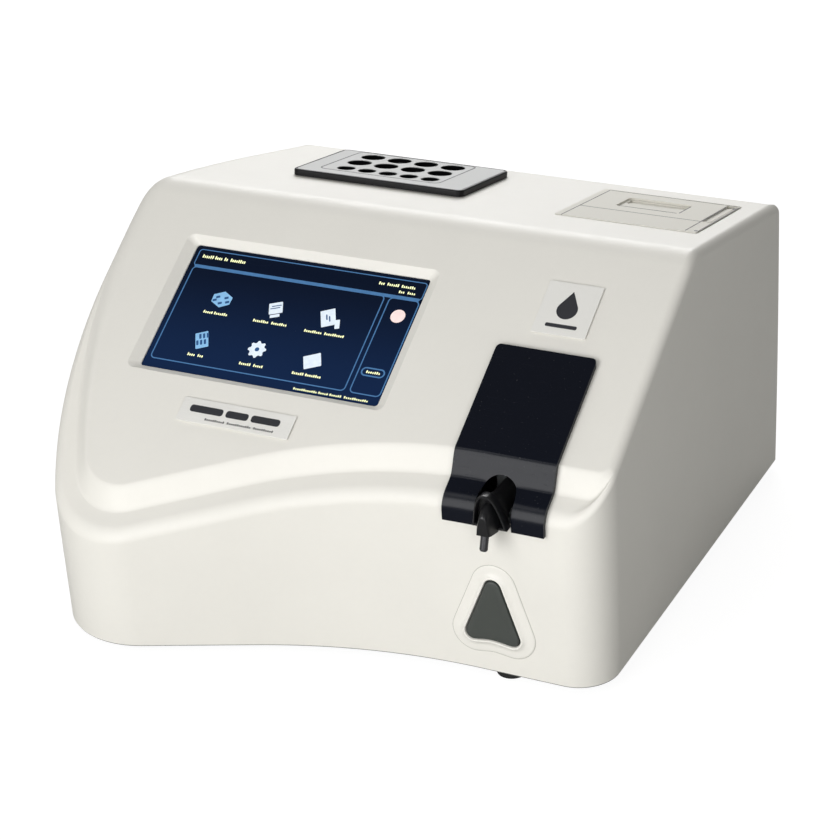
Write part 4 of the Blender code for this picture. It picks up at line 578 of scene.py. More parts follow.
def glossy(name, colour, roughness, smear=0.08, **shader):
    """Polished plastic with wiped smears and a few fine scratches."""
    made = Finish(name, colour, roughness, **shader)
    wiped = made.noise(0.010, 4.0, 0.6, (1.0, 0.35, 1.0))
    marks = made.noise(0.0016, 2.0, 0.5, (0.12, 1.0, 1.0)).between(0.62, 0.72)
    made.set("Roughness", roughness + wiped * smear + marks * 0.05)
    dust = made.noise(0.0011, 1.0, 0.5).between(0.74, 0.80)
    made.set("Base Color", made.mix(dust * 0.10, colour, (0.35, 0.35, 0.33)))
    made.bump(made.noise(0.020, 1.0), 0.00004)
    return made.material


def brushed(name, colour, roughness, way=(1.0, 40.0, 40.0), metallic=1.0, depth=0.000004):
    """Metal with fine lines left by its finishing."""
    made = Finish(name, colour, roughness, Metallic=metallic)
    lines = made.noise(0.012, 3.0, 0.7, way)
    clouds = made.noise(0.020, 2.0)
    made.set("Base Color", made.mix(lines * 0.5 + clouds * 0.5, shaded(colour, 0.86), shaded(colour, 1.10)))
    made.set("Roughness", lines * 0.16 + clouds * 0.10 + (roughness - 0.10))
    made.bump(lines, depth)
    return made.material


def rubbery(name, colour):
    made = Finish(name, colour, 0.78)
    chalk = made.noise(0.004, 4.0, 0.7)
    made.set("Base Color", made.mix(chalk.between(0.40, 0.75), colour, shaded(colour, 2.2)))
    made.set("Roughness", chalk * 0.2 + 0.64)
    made.bump(made.noise(0.0006, 2.0, 0.7), 0.00003)
    return made.material


def board(name):
    """A circuit board: solder mask with tracks and pads."""
    green = (0.012, 0.085, 0.035)
    made = Finish(name, green, 0.35)
    x = made.along("X") * 420.0
    tracks = abs(x.maths("PINGPONG", x, 1.0) - 0.5).between(0.30, 0.36)
    broken = made.noise(0.012, 1.0).between(0.48, 0.54)
    made.set("Base Color", made.mix(tracks * broken * 0.6, green, (0.05, 0.20, 0.09)))
    pads = made.cells(0.0050).between(0.16, 0.12)
    made.set("Metallic", pads * 0.8)
    made.bump(tracks * broken, 0.00003)
    return made.material


def raw(name, bm, matrix=ROW):
    """A bare object of the row, to be dressed, carved or carved with."""
    bmesh.ops.recalc_face_normals(bm, faces=bm.faces)
    mesh = bpy.data.meshes.new(name)
    bm.to_mesh(mesh)
    bm.free()
    mesh.transform(matrix)
    made = bpy.data.objects.new(name, mesh)
    bpy.context.scene.collection.objects.link(made)
    return made


def object_of(name, bm, finish, body="case", matrix=ROW, **dress):
    """A dressed object that rides on a body."""
    made = raw(name, bm, matrix)
    finished(made, finish, body, **dress)
    return made


def finished(made, finish, body, smooth=math.radians(32), edge=0.0, slot=None, weighted=True):
    """Softens the object's edges, rounds its shading and lets it ride on a body."""
    if edge:
        bevel = made.modifiers.new("soft_edges", "BEVEL")
        bevel.width = edge
        bevel.segments = 2
        bevel.limit_method = "ANGLE"
        bevel.angle_limit = math.radians(32)
        bevel.use_clamp_overlap = True
        carve(made)
    mesh = made.data
    mesh.materials.clear()
    mesh.materials.append(finish)
    if smooth:
        mesh.shade_smooth()
        mesh.set_sharp_from_angle(angle=smooth)
    if weighted:
        normals = made.modifiers.new("even_normals", "WEIGHTED_NORMAL")
        normals.keep_sharp = True
        normals.weight = 60
    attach(made, body)


def carve(target, *tools, operation="DIFFERENCE"):
    """Cuts or joins the tools with the target's mesh and removes them."""
    for tool in tools:
        step = target.modifiers.new(tool.name, "BOOLEAN")
        step.operation = operation
        step.solver = "EXACT"
        step.object = tool
    graph = bpy.context.evaluated_depsgraph_get()
    solid = bpy.data.meshes.new_from_object(target.evaluated_get(graph))
    target.modifiers.clear()
    old = target.data
    target.data = solid
    bpy.data.meshes.remove(old)
    for tool in tools:
        bpy.data.objects.remove(tool, do_unlink=True)


def loft(rings, closed=False, bm=None):
    """A solid through rings with equal counts of points; a closed one joins its last ring to its first."""
    bm = bm or bmesh.new()
    rows = [[bm.verts.new(point) for point in ring] for ring in rings]
    pairs = list(zip(rows, rows[1:]))
    if closed:
        pairs.append((rows[-1], rows[0]))
    for low, high in pairs:
        for i in range(len(low)):
            j = (i + 1) % len(low)
            bm.faces.new((low[i], low[j], high[j], high[i]))
    if not closed:
        bm.faces.new(list(reversed(rows[0])))
        bm.faces.new(rows[-1])
    return bm


def outline(corners, inset=0.0, steps=8, insets=None):
    """The rounded polygon of (x, y, radius) corners, counter-clockwise, moved inwards edge by edge."""
    count = len(corners)
    places = [Vector(corner[:2]) for corner in corners]
    along = [(places[(i + 1) % count] - places[i]).normalized() for i in range(count)]
    inward = [Vector((-way.y, way.x)) for way in along]
    moves = insets or [inset] * count
    points = []
    for i, (*_, radius) in enumerate(corners):
        before = along[i - 1]
        after = along[i]
        turn = math.atan2(before.cross(after), before.dot(after))
        first = places[i] + inward[i - 1] * moves[i - 1]
        second = places[i] + inward[i] * moves[i]
        corner = first + before * ((second - first).cross(after) / before.cross(after))
        side = math.copysign(1.0, turn)
        rounding = max(radius - side * max(moves[i - 1], moves[i]), SMALLEST_RADIUS)
        start = corner - before * rounding * math.tan(abs(turn) / 2)
        centre = start + inward[i - 1] * rounding * side
        spoke = start - centre
        for k in range(steps + 1):
            points.append(centre + Matrix.Rotation(turn * k / steps, 2) @ spoke)
    return points


def level(points, height):
    return [(point[0], point[1], height) for point in points]


def stepped(corners, profile, steps=8):
    """Rings of one outline, at the (inset, height) pairs of a profile."""
    return [level(outline(corners, inset, steps), height) for inset, height in profile]


def rectangle(width, depth, radius=0.0, x=0.0, y=0.0):
    left = x - width / 2
    right = x + width / 2
    front = y - depth / 2
    rear = y + depth / 2
    return ((left, front, radius), (right, front, radius), (right, rear, radius), (left, rear, radius))


def slab(width, depth, low, high, radius=0.0, x=0.0, y=0.0, bm=None):
    corners = rectangle(width, depth, radius, x, y)
    points = outline(corners) if radius else corners
    return loft([level(points, low), level(points, high)], bm=bm)


def circle(radius, steps, x=0.0, y=0.0):
    turns = [math.tau * k / steps for k in range(steps)]
    return [(x + radius * math.cos(turn), y + radius * math.sin(turn)) for turn in turns]


def roof_z(y):
    """Height of the slope, the rounded crease and the roof above a point of the plan."""
    rise = math.tan(SLOPE_ANGLE)
    fall = math.tan(ROOF_ANGLE)
    past = y - CREASE_Y
    if past <= -CREASE_BLEND:
        return CREASE_Z + past * rise
    if past >= CREASE_BLEND:
        return CREASE_Z - past * fall
    start = past + CREASE_BLEND
    return CREASE_Z + past * rise - (rise + fall) * start * start / (4 * CREASE_BLEND)


def barrelled(x, y, z):
    """The side walls swell a little at half height."""
    share = z / CREASE_Z
    middle = (RIGHT_X + CHEEK_X) / 2
    half = (RIGHT_X - CHEEK_X) / 2
    return (x + (x - middle) / half * BARREL * 4 * share * (1 - share), y, z)


def case_skin(plan, grow, steps, rings, floor):
    """The case's closed outer form, grown outwards, from its roof down to a floor."""
    def rounded(radius):
        turns = [math.pi / 2 * k / (2 * rings - 1) for k in range(2 * rings)]
        return [(radius * (1 - math.cos(turn)), radius * (1 - math.sin(turn))) for turn in turns]

    step = []
    for k in range(rings):
        turn = math.pi / 2 * k / (rings - 1)
        drop = STEP_DROP + SKIRT_EDGE_RADIUS * (1 - math.sin(turn))
        step.append((SKIRT_EDGE_RADIUS * (1 - math.cos(turn)), drop))
    for k in range(rings):
        share = k / (rings - 1)
        step.append((SHELF_WIDTH + STEP_WIDTH * share, STEP_DROP * (1 + math.cos(math.pi * share)) / 2))
    left = rounded(LEFT_EDGE_RADIUS)
    edges = (rounded(RIGHT_EDGE_RADIUS), rounded(REAR_EDGE_RADIUS), left, left, step, step, step)
    lift = grow / math.cos(SLOPE_ANGLE)
    bm = bmesh.new()
    rows = []
    for k in range(2 * rings):
        points = outline(plan, steps=steps, insets=[edge[k][0] - grow for edge in edges])
        row = []
        for i, point in enumerate(points):
            corner = i // (steps + 1)
            share = (i % (steps + 1)) / steps
            ease = share * share * (3 - 2 * share)
            drop = edges[corner - 1][k][1] * (1 - ease) + edges[corner][k][1] * ease
            row.append(bm.verts.new((point.x, point.y, -drop)))
        rows.append(row)
    count = len(rows[0])
    for low, high in zip(rows, rows[1:]):
        for i in range(count):
            j = (i + 1) % count
            bm.faces.new((low[i], low[j], high[j], high[i]))
    bm.faces.new(rows[-1])
    for k in range(rings + 1):
        station = CREASE_Y + CREASE_BLEND * (2 * k / rings - 1)
        everything = bm.verts[:] + bm.edges[:] + bm.faces[:]
        bmesh.ops.bisect_plane(bm, geom=everything, plane_co=(0, station, 0), plane_no=(0, 1, 0))
    for vert in bm.verts:
        vert.co.z += roof_z(vert.co.y) + lift
    rim = [edge for edge in bm.edges if edge.is_boundary]
    tops = {}
    for band in range(rings):
        made = bmesh.ops.extrude_edge_only(bm, edges=rim)["geom"]
        rim = [item for item in made if isinstance(item, bmesh.types.BMEdge) and item.is_boundary]
        for item in made:
            if isinstance(item, bmesh.types.BMVert):
                place = (round(item.co.x, 7), round(item.co.y, 7))
                top = tops.setdefault(place, item.co.z)
                item.co.z = top + (floor - top) * (band + 1) / rings
    bmesh.ops.contextual_create(bm, geom=rim)
    for vert in bm.verts:
        vert.co = barrelled(*vert.co)
    bmesh.ops.recalc_face_normals(bm, faces=bm.faces)
    return bm


def window_rings():
    """The screen's window, from its straight wall over the wide bevels to a softened top edge."""
    depth = SCREEN_DEPTH - SCREEN_LIP
    shares = ((0.0, -SCREEN_DEPTH - PAST), (0.0, -depth), (0.03, -depth * 0.99), (0.94, -depth * 0.07),
              (1.00, -depth * 0.02), (1.06, depth * 0.01), (1.07, PAST))
    rings = []
    for share, height in shares:
        corners = rectangle(
            SCREEN_WIDTH + 2 * BEVEL_SIDE * share, SCREEN_HEIGHT + 2 * BEVEL_END * share,
            SCREEN_CORNER + BEVEL_END * share * 0.6)
        rings.append(level(outline(corners), height))
    return rings


def turned(profile, steps, closed=False, x=0.0, y=0.0):
    """A round solid about z from (radius, height) pairs."""
    return loft([level(circle(radius, steps, x, y), height) for radius, height in profile], closed)


def prism(bm, points, low, high):
    loft([level(points, low), level(points, high)], bm=bm)


def ring_line(bm, corners, width, low, high):
    """A raised line of a given width that follows a rounded outline."""
    outer = outline(corners, steps=6)
    inner = outline(corners, width, steps=6)
    loft([level(outer, low), level(outer, high), level(inner, high), level(inner, low)], True, bm)


def tilted(width, depth, x, y, turn, radius=0.0004):
    """A rounded rectangle's outline, turned about its middle."""
    spin = Matrix.Rotation(turn, 2)
    points = outline(rectangle(width, depth, radius), steps=3)
    return [spin @ Vector(point) + Vector((x, y)) for point in points]


def bars(bm, x, y, widths, size, low, high, gap=0.0008):
    """A row of short bars standing for a line of a label, centred on x."""
    left = x - (sum(widths) + gap * (len(widths) - 1)) / 2
    for width in widths:
        prism(bm, outline(rectangle(width, size, size * 0.35, left + width / 2, y), steps=3), low, high)
        left += width + gap


def marks(bm, x, y, widths, size, low, high, gap=0.0012, pitch=0.0013):
    """A line of small upright strokes in groups, standing for a line of print, centred on x."""
    left = x - (sum(widths) + gap * (len(widths) - 1)) / 2
    for width in widths:
        count = max(1, round(width / pitch))
        for k in range(count):
            tall = size * (1.0, 0.72, 0.78, 0.70, 0.92)[k % 5]
            stroke = rectangle(pitch * 0.66, tall, 0.0001, left + pitch * (k + 0.5), y - (size - tall) / 2)
            prism(bm, outline(stroke, steps=1), low, high)
        left += width + gap


def dressed(name, finish, slot, edge):
    """A copy of a CAD node's form with softened edges, in its place."""
    node = frame["nodes"][name]
    bm = bmesh.new()
    bm.from_mesh(node.data)
    bm.transform(node.matrix_world)
    bmesh.ops.remove_doubles(bm, verts=bm.verts, dist=0.000002)
    bmesh.ops.dissolve_limit(bm, angle_limit=math.radians(0.5), verts=bm.verts, edges=bm.edges)
    made = object_of(f"{name}_skin", bm, finish, body_of(node)[0], Matrix(), edge=edge, slot=slot)
    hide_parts(name)


def flat_print_or_painted_shade(name, bm, ink, matrix, slot, body="case"):
    """A thin print, or a line of painted shade, left with its flat faces."""
    object_of(name, bm, ink, body, matrix, smooth=0.0, weighted=False, slot=slot)


def make_case():
    case = bpy.context.scene.analyzer_case
    colour = tuple(case.colour)
    cream = moulded("case_cream", colour, 0.44, case.grain, case.grain_depth, Specular_IOR_Level=0.45)
    shell = raw("case", case_skin(PLAN, 0.0, case.corner_steps, case.edge_rings, 0.0))
    carve(shell, raw("case_hollow", case_skin(HOLLOW, -WALL, 5, 4, -PAST)))
    collar = slab(COLLAR_WIDTH, COLLAR_HEIGHT, -SCREEN_DEPTH, -COLLAR_TOP)
    carve(shell, raw("collar", collar, SCREEN), operation="UNION")
    tools = [raw("window", loft(window_rings()), SCREEN)]
    bay_depth = BAY_REAR_Y - FRONT_Y + PAST
    bay = slab(BAY_WIDTH, bay_depth, BAY_LOW_Z, TALL, x=COVER_X, y=BAY_REAR_Y - bay_depth / 2)
    tools.append(raw("bay", bay))
    points = outline(KEY_CORNERS, -BEZEL_SLEEVE - SLIDE_GAP - GAP)
    tools.append(raw("key_hole", loft([level(points, -WALL - PAST), level(points, PAST)]), KEY))
    narrow = 2 * OPENING_MARGIN
    incubator = slab(INCUBATOR_WIDTH - narrow, INCUBATOR_DEPTH - narrow, -WALL - PAST, PAST)
    tools.append(raw("incubator_hole", incubator, INCUBATOR))
    printer = slab(PRINTER_WIDTH, PRINTER_DEPTH, -WALL - PAST, PAST, PRINTER_CORNER, PRINTER_X, PRINTER_T)
    tools.append(raw("printer_hole", printer, ROOF))
    rear = slab(REAR_WINDOW_WIDTH, REAR_WINDOW_HEIGHT, -PAST, REAR_Y - PANEL_Y + PAST, REAR_WINDOW_CORNER)
    place = ROW @ Matrix.Translation((0.0, REAR_Y, REAR_WINDOW_LOW + REAR_WINDOW_HEIGHT / 2))
    tools.append(raw("rear_hole", rear, place @ QUARTER))
    carve(shell, *tools)
    finished(shell, cream, "case", math.radians(28), slot="case_cream")
    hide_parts("housing_shell")


def make_base():
    steel = brushed("steel", (0.54, 0.55, 0.56), 0.34)
    inset = WALL + GAP
    plate = raw("base", loft(stepped(HOLLOW, ((inset, BASE_LOW_Z), (inset, BASE_TOP_Z)))))
    vents = bmesh.new()
    for k in range(VENTS):
        y = VENT_Y + VENT_PITCH * (k - (VENTS - 1) / 2)
        slab(VENT_LENGTH, VENT_WIDTH, -PAST, BASE_TOP_Z + PAST, VENT_CORNER, VENT_X, y, vents)
    carve(plate, raw("vents", vents))
    finished(plate, steel, "case", math.radians(30), 0.0002, "steel")
    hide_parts("base_plate")
    # A dark grey rim under the skirt's lower edge, its tone painted shade: it draws the thin line of shadow
    # along the case's bottom.
    shade = moulded("base_shade", (0.20, 0.20, 0.19), 0.60, 0.0006, 0.000004)
    profile = ((0.0004, -0.0007), (0.0004, 0.0006), (0.0024, 0.0006), (0.0024, -0.0007))
    rim = stepped(PLAN, profile, bpy.context.scene.analyzer_case.corner_steps)
    object_of("base_rim", loft(rim, True), shade, slot="dark_metal")
    rubber = rubbery("rubber", (0.005, 0.005, 0.005))
    profile = [(FOOT_RADIUS - 0.0006, -FOOT_HEIGHT), (FOOT_RADIUS - 0.0002, -FOOT_HEIGHT + 0.0003),
               (FOOT_RADIUS, -FOOT_HEIGHT + 0.0010), (FOOT_RADIUS, FOOT_TOP)]
    for name, (x, y) in FEET.items():
        foot = object_of(f"{name}_turned", turned(profile, 48, x=x, y=y), rubber, slot="rubber")
        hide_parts(name)


def picture(name, bm, colour):
    """One colour of the screen's picture, a little uneven, as a lit panel is."""
    glow = bpy.context.scene.analyzer_screen.glow
    made = Finish(name, colour, 0.28, Emission_Strength=glow, Specular_IOR_Level=0.15)
    tint = made.mix(made.noise(0.0030, 2.0), shaded(colour, 0.82), shaded(colour, 1.10))
    made.set("Base Color", tint)
    made.set("Emission Color", tint)
    flat_print_or_painted_shade(name, bm, made.material, SCREEN, "screen_glass")


def make_pane():
    screen = bpy.context.scene.analyzer_screen
    ground = tuple(screen.ground)
    glass = Finish("screen_glass", ground, 0.26, Specular_IOR_Level=0.15)
    depth_of = glass.along("Y", SCREEN).between(0.040, -0.040)
    glass.set("Base Color", glass.mix(depth_of, shaded(ground, 0.40), shaded(ground, 1.20)))
    glass.set("Emission Color", glass.mix(depth_of, shaded(ground, 0.35), shaded(ground, 1.25)))
    glass.set("Emission Strength", screen.glow)
    glass.set("Roughness", glass.noise(0.014, 4.0, 0.6) * 0.10 + 0.20)
    margins = 2 * PANE_MARGIN
    plate = slab(SCREEN_WIDTH + margins, SCREEN_HEIGHT + margins, -PANE_THICKNESS, 0.0, 0.001)
    place = SCREEN @ Matrix.Translation((0.0, 0.0, -SCREEN_DEPTH - GAP))
    pane = object_of("screen_pane", plate, glass.material, matrix=place, edge=0.0003, slot="screen_glass")
    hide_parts("touch_glass")


def make_screen():
    make_pane()
    screen = bpy.context.scene.analyzer_screen
    low, high, top = PICTURE_LOW, PICTURE_HIGH, PICTURE_TOP
    lines = bmesh.new()
    for width, depth, radius, x, y, line in SCREEN_FRAMES:
        ring_line(lines, rectangle(width, depth, radius, x, y), line, low, high)
    prism(lines, outline(rectangle(*HEADER_BAND), steps=3), low, top)
    picture("screen_lines", lines, tuple(screen.lines))

    labels = bmesh.new()
    for x, y, size, gap, *widths in SCREEN_LABELS:
        marks(labels, x, y, widths, size, low, high, gap)
    picture("screen_labels", labels, tuple(screen.labels))

    white = bmesh.new()
    for width, depth, x, y, turn in SHEETS:
        prism(white, tilted(width, depth, x, y, turn), low, high)
    gear = []
    for k in range(4 * GEAR_TEETH):
        radius = GEAR_RADIUS if k % 4 in (0, 1) else GEAR_ROOT
        turn = math.tau * k / (4 * GEAR_TEETH)
        gear.append((GEAR_X + radius * math.cos(turn), GEAR_Y + radius * math.sin(turn)))
    prism(white, gear, low, high)
    picture("screen_icons_white", white, (0.50, 0.56, 0.62))

    blue = bmesh.new()
    prism(blue, DRUM, low, high)
    prism(blue, tilted(0.0080, 0.0112, -0.0471, -0.0200, SHEET_TURN), low, high)
    picture("screen_icons_blue", blue, (0.16, 0.32, 0.50))

    dark = bmesh.new()
    for x, y in DRUM_HOLES:
        prism(dark, tilted(0.0026, 0.0016, x, y, 0.4), high, top)
    for k in range(3):
        for row in range(2):
            y = -0.0178 - 0.0046 * row + 0.0008 * k
            prism(dark, tilted(0.0014, 0.0034, -0.0491 + 0.0022 * k, y, SHEET_TURN), high, top)
    prism(dark, circle(GEAR_BORE, 16, GEAR_X, GEAR_Y), high, top)
    for width, depth, x, y, turn, radius in SHEET_LINES:
        prism(dark, tilted(width, depth, x, y, turn, radius), high, top)
    picture("screen_icon_marks", dark, (0.020, 0.060, 0.150))

    rose = bmesh.new()
    prism(rose, circle(0.0045, 32, 0.0667, 0.0170), low, high)
    picture("screen_round_button", rose, (0.62, 0.50, 0.48))


def make_plates():
    silver = brushed("silver_label", (0.82, 0.81, 0.77), 0.45, (2.0, 30.0, 2.0), 0.05)
    pale = moulded("pale_plastic", (0.80, 0.79, 0.75), 0.42, 0.0008, 0.000006)
    ink = moulded("plate_ink", (0.022, 0.023, 0.028), 0.50, 0.0006, 0.000004)
    dressed("model_plate", silver, "silver_label", 0.0002)
    dressed("emblem_plate", pale, "pale_plastic", 0.0002)
    low = PLATE_TOP - PRINT_SUNK
    high = PLATE_TOP + PRINT_HIGH
    bm = bmesh.new()
    bars(bm, -0.0010, 0.0012, (0.0215, 0.0145, 0.0185), 0.0046, low, high, 0.0020)
    marks(bm, 0.0040, -0.0046, (0.0130, 0.0156, 0.0130), 0.0019, low, high, 0.0016)
    place = SLOPE @ Matrix.Translation((MODEL_X, -MODEL_S, 0.0))
    flat_print_or_painted_shade("model_print", bm, ink, place, "black_moulding")
    bm = bmesh.new()
    drop = [(0.0, DROP_POINT)]
    for k in range(25):
        turn = math.radians(28 - 236 * k / 24)
        drop.append((DROP_RADIUS * math.cos(turn), DROP_Y + DROP_RADIUS * math.sin(turn)))
    prism(bm, list(reversed(drop)), low, high)
    bars(bm, 0.0, -0.0116, (0.0190,), 0.0024, low, high)
    place = SLOPE @ Matrix.Translation((EMBLEM_X, -EMBLEM_S, 0.0))
    flat_print_or_painted_shade("emblem_print", bm, ink, place, "black_moulding")


def dome(width, low, high, steps=24, share=1.0, foot=None, power=2.6):
    """A tall, blunt arch as (x, height) points, scaled about its foot's height."""
    foot = (low + high) / 2 if foot is None else foot
    points = []
    for k in range(steps + 1):
        across = 1 - 2 * k / steps
        height = low + (high - low) * (1 - abs(across)**power)
        points.append((width / 2 * across * share, foot + (height - foot) * share))
    return points


def make_cover():
    sampler = bpy.context.scene.analyzer_sampler
    case = bpy.context.scene.analyzer_case
    navy = glossy("cover_navy", tuple(sampler.colour), 0.20, Specular_IOR_Level=0.20)
    steps, rings = case.corner_steps, case.edge_rings
    cover = raw("cover", case_skin(PLAN, GAP + COVER_THICKNESS, steps, rings, 0.0))
    depth = COVER_TOP_Y - FRONT_Y + 2 * COVER_THICKNESS
    corners = rectangle(COVER_WIDTH, depth, COVER_CORNER, COVER_X, COVER_TOP_Y - depth / 2)
    points = outline([(x, y, SMALLEST_RADIUS) for x, y, _ in corners[:2]] + list(corners[2:]), steps=6)
    keep = loft([level(points, COVER_LOW_Z), level(points, TALL)])
    carve(cover, raw("keep", keep), operation="INTERSECT")
    carve(cover, raw("near_skin", case_skin(PLAN, GAP, steps, rings, -PAST)))
    notch = arch(NOTCH_WIDTH, 0.0, NOTCH_HIGH_Z)
    hole = loft([level(notch, -NOTCH_REAR_Y), level(notch, PAST - FRONT_Y + 2 * COVER_THICKNESS)])
    carve(cover, raw("notch", hole, SAMPLER))
    top = roof_z(PEG_Y) + GAP
    pegs = bmesh.new()
    for side in (-1, 1):
        points = circle(PEG_RADIUS, 24, COVER_X + side * PEG_SPREAD, PEG_Y)
        loft([level(points, top - PEG_LENGTH), level(points, top + COVER_THICKNESS / 2)], bm=pegs)
    carve(cover, raw("pegs", pegs), operation="UNION")
    finished(cover, navy, "cover", math.radians(30), sampler.edge, "cover_navy")
    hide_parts("flow_cell_cover")


def arch(width, low, high, steps=24):
    """An upright arch: straight sides with a round top, as (x, height) points."""
    radius = width / 2
    points = [(-radius, low), (radius, low)]
    for k in range(steps + 1):
        turn = math.pi * k / steps
        points.append((radius * math.cos(turn), high - radius + radius * math.sin(turn)))
    return points


def make_sampler():
    sampler = bpy.context.scene.analyzer_sampler
    black = moulded("black_moulding", (0.009, 0.009, 0.010), 0.30, 0.0006, 0.000006, 0.12,
                    Specular_IOR_Level=0.40)
    metal = brushed("dark_metal", (0.050, 0.050, 0.054), 0.36, metallic=0.5)
    height = HOOD_HIGH_Z - HOOD_LOW_Z

    def leaning(inset, back):
        """The hood's rim line, inset, standing back from its leaning face."""
        points = dome(HOOD_WIDTH, HOOD_LOW_Z, HOOD_HIGH_Z, share=1 - 2 * inset / HOOD_WIDTH)
        rise = (HOOD_HIGH_REACH - HOOD_LOW_REACH) / height
        return [(x, z, HOOD_LOW_REACH + (z - HOOD_LOW_Z) * rise - back) for x, z in points]

    rings = [level(dome(HOOD_WIDTH, HOOD_LOW_Z, HOOD_HIGH_Z, share=HOOD_REAR_SHARE), -HOOD_REAR_Y)]
    rings += [leaning(inset, back) for inset, back in (
        (0.0045, 0.0160), (0.0030, 0.0090), (0.0002, 0.0060), (0.0, 0.0008), (0.0003, 0.0002),
        (0.0007, 0.0), (0.0013, 0.0), (0.0016, 0.0004), (0.0017, 0.0045))]
    hood = raw("hood", loft(rings), SAMPLER)
    foot = HOOD_LOW_Z + (TONGUE_HIGH_Z - HOOD_LOW_Z) * 0.04
    front = []
    for share, reach in ((1.0, 0.0060), (1.0, 0.0140), (0.96, 0.0150), (0.80, TONGUE_REACH - 0.0020),
                         (0.70, TONGUE_REACH - 0.0006), (0.62, TONGUE_REACH)):
        front.append(level(dome(TONGUE_WIDTH, HOOD_LOW_Z, TONGUE_HIGH_Z, 16, share, foot, 3.0), reach))
    carve(hood, raw("tongue", loft(front), SAMPLER), operation="UNION")
    finished(hood, black, "case", math.radians(40), slot="black_moulding")
    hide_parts("aspirator_hood")

    radius = sampler.tube_radius
    bore = radius * 0.46
    profile = [(radius, 0.0), (radius, TUBE_LENGTH - 0.0012), (radius * 0.93, TUBE_LENGTH - 0.0005),
               (radius * 0.72, TUBE_LENGTH), (radius * 0.50, TUBE_LENGTH),
               (bore, TUBE_LENGTH - 0.0030), (bore, 0.0)]
    bm = turned(profile, bpy.context.scene.analyzer_detail.round_steps, True)
    lean = Matrix.Rotation(math.pi - sampler.tube_lean, 4, "X")
    place = ROW @ Matrix.Translation((COVER_X, TUBE_Y, TUBE_Z)) @ lean
    tube = object_of("tube", bm, metal, matrix=place, smooth=math.radians(40), slot="dark_metal")
    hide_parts("sipper_tube")


def make_key():
    settings = bpy.context.scene.analyzer_key
    bezel_cream = moulded("bezel_cream", (0.820, 0.802, 0.745), 0.36, 0.0009, 0.000005)
    grey = moulded("key_grey", tuple(settings.colour), 0.50, 0.0008, 0.000016, 0.10)
    nose, bow = PLAN[5], PLAN[6]
    turn = math.atan2(FRONT_Y - nose[1], bow[0] - nose[0])
    bend = bow[0] + bow[2] * math.tan(turn / 2)

    def on_wall(profile):
        """Rings at heights above the front wall, which bends forward at its left."""
        rings = []
        for inset, height in profile:
            rings.append([(x, y, height + max(0.0, bend - KEY_X - x)**2 / (2 * bow[2]))
                          for x, y in outline(KEY_CORNERS, inset, 12)])
        return loft(rings, True)

    inner = -SLIDE_GAP - BEZEL_SLEEVE
    profile = [(-0.0088, -0.0010), (-0.0088, 0.0002), (-0.0085, 0.0005), (-0.0078, 0.00065),
               (-0.0050, 0.00080), (-0.0034, 0.0012), (-0.0024, 0.0021), (-0.0020, 0.0024),
               (-0.0015, 0.0025), (-0.0010, 0.0023), (-0.0007, 0.0016), (-0.0006, -0.0001),
               (-SLIDE_GAP, -BEZEL_DEPTH), (inner, -BEZEL_DEPTH), (inner, -0.0010)]
    bezel = object_of("bezel", on_wall(profile), bezel_cream, matrix=KEY, smooth=math.radians(38),
                      slot="bezel_cream")
    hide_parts("trigger_bezel")
    # A thin grey band round the bezel's outer edge, painted shade of the gap between the bezel and the front
    # wall.
    shade = moulded("bezel_shade", (0.52, 0.51, 0.465), 0.55, 0.0006, 0.000004)
    profile = [(-0.0092, -0.0006), (-0.0092, 0.00012), (-0.0087, 0.00012), (-0.0087, -0.0006)]
    flat_print_or_painted_shade("bezel_line", on_wall(profile), shade, KEY, "bezel_cream")
    profile = [(0.0, -KEY_BACK), (0.0, KEY_HEIGHT - 0.0010), (0.0002, KEY_HEIGHT - 0.0005),
               (0.0006, KEY_HEIGHT - 0.0001), (0.0012, KEY_HEIGHT), (0.0040, KEY_HEIGHT + settings.dome)]
    key = raw("start_key", loft(stepped(KEY_CORNERS, profile, 12)), KEY)
    stalk = turned([(STALK_RADIUS, -STALK_REACH), (STALK_RADIUS, -KEY_BACK / 2)], 24)
    carve(key, raw("stalk", stalk, KEY), operation="UNION")
    finished(key, grey, "start_key", math.radians(38), slot="key_grey")
    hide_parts("trigger_button")


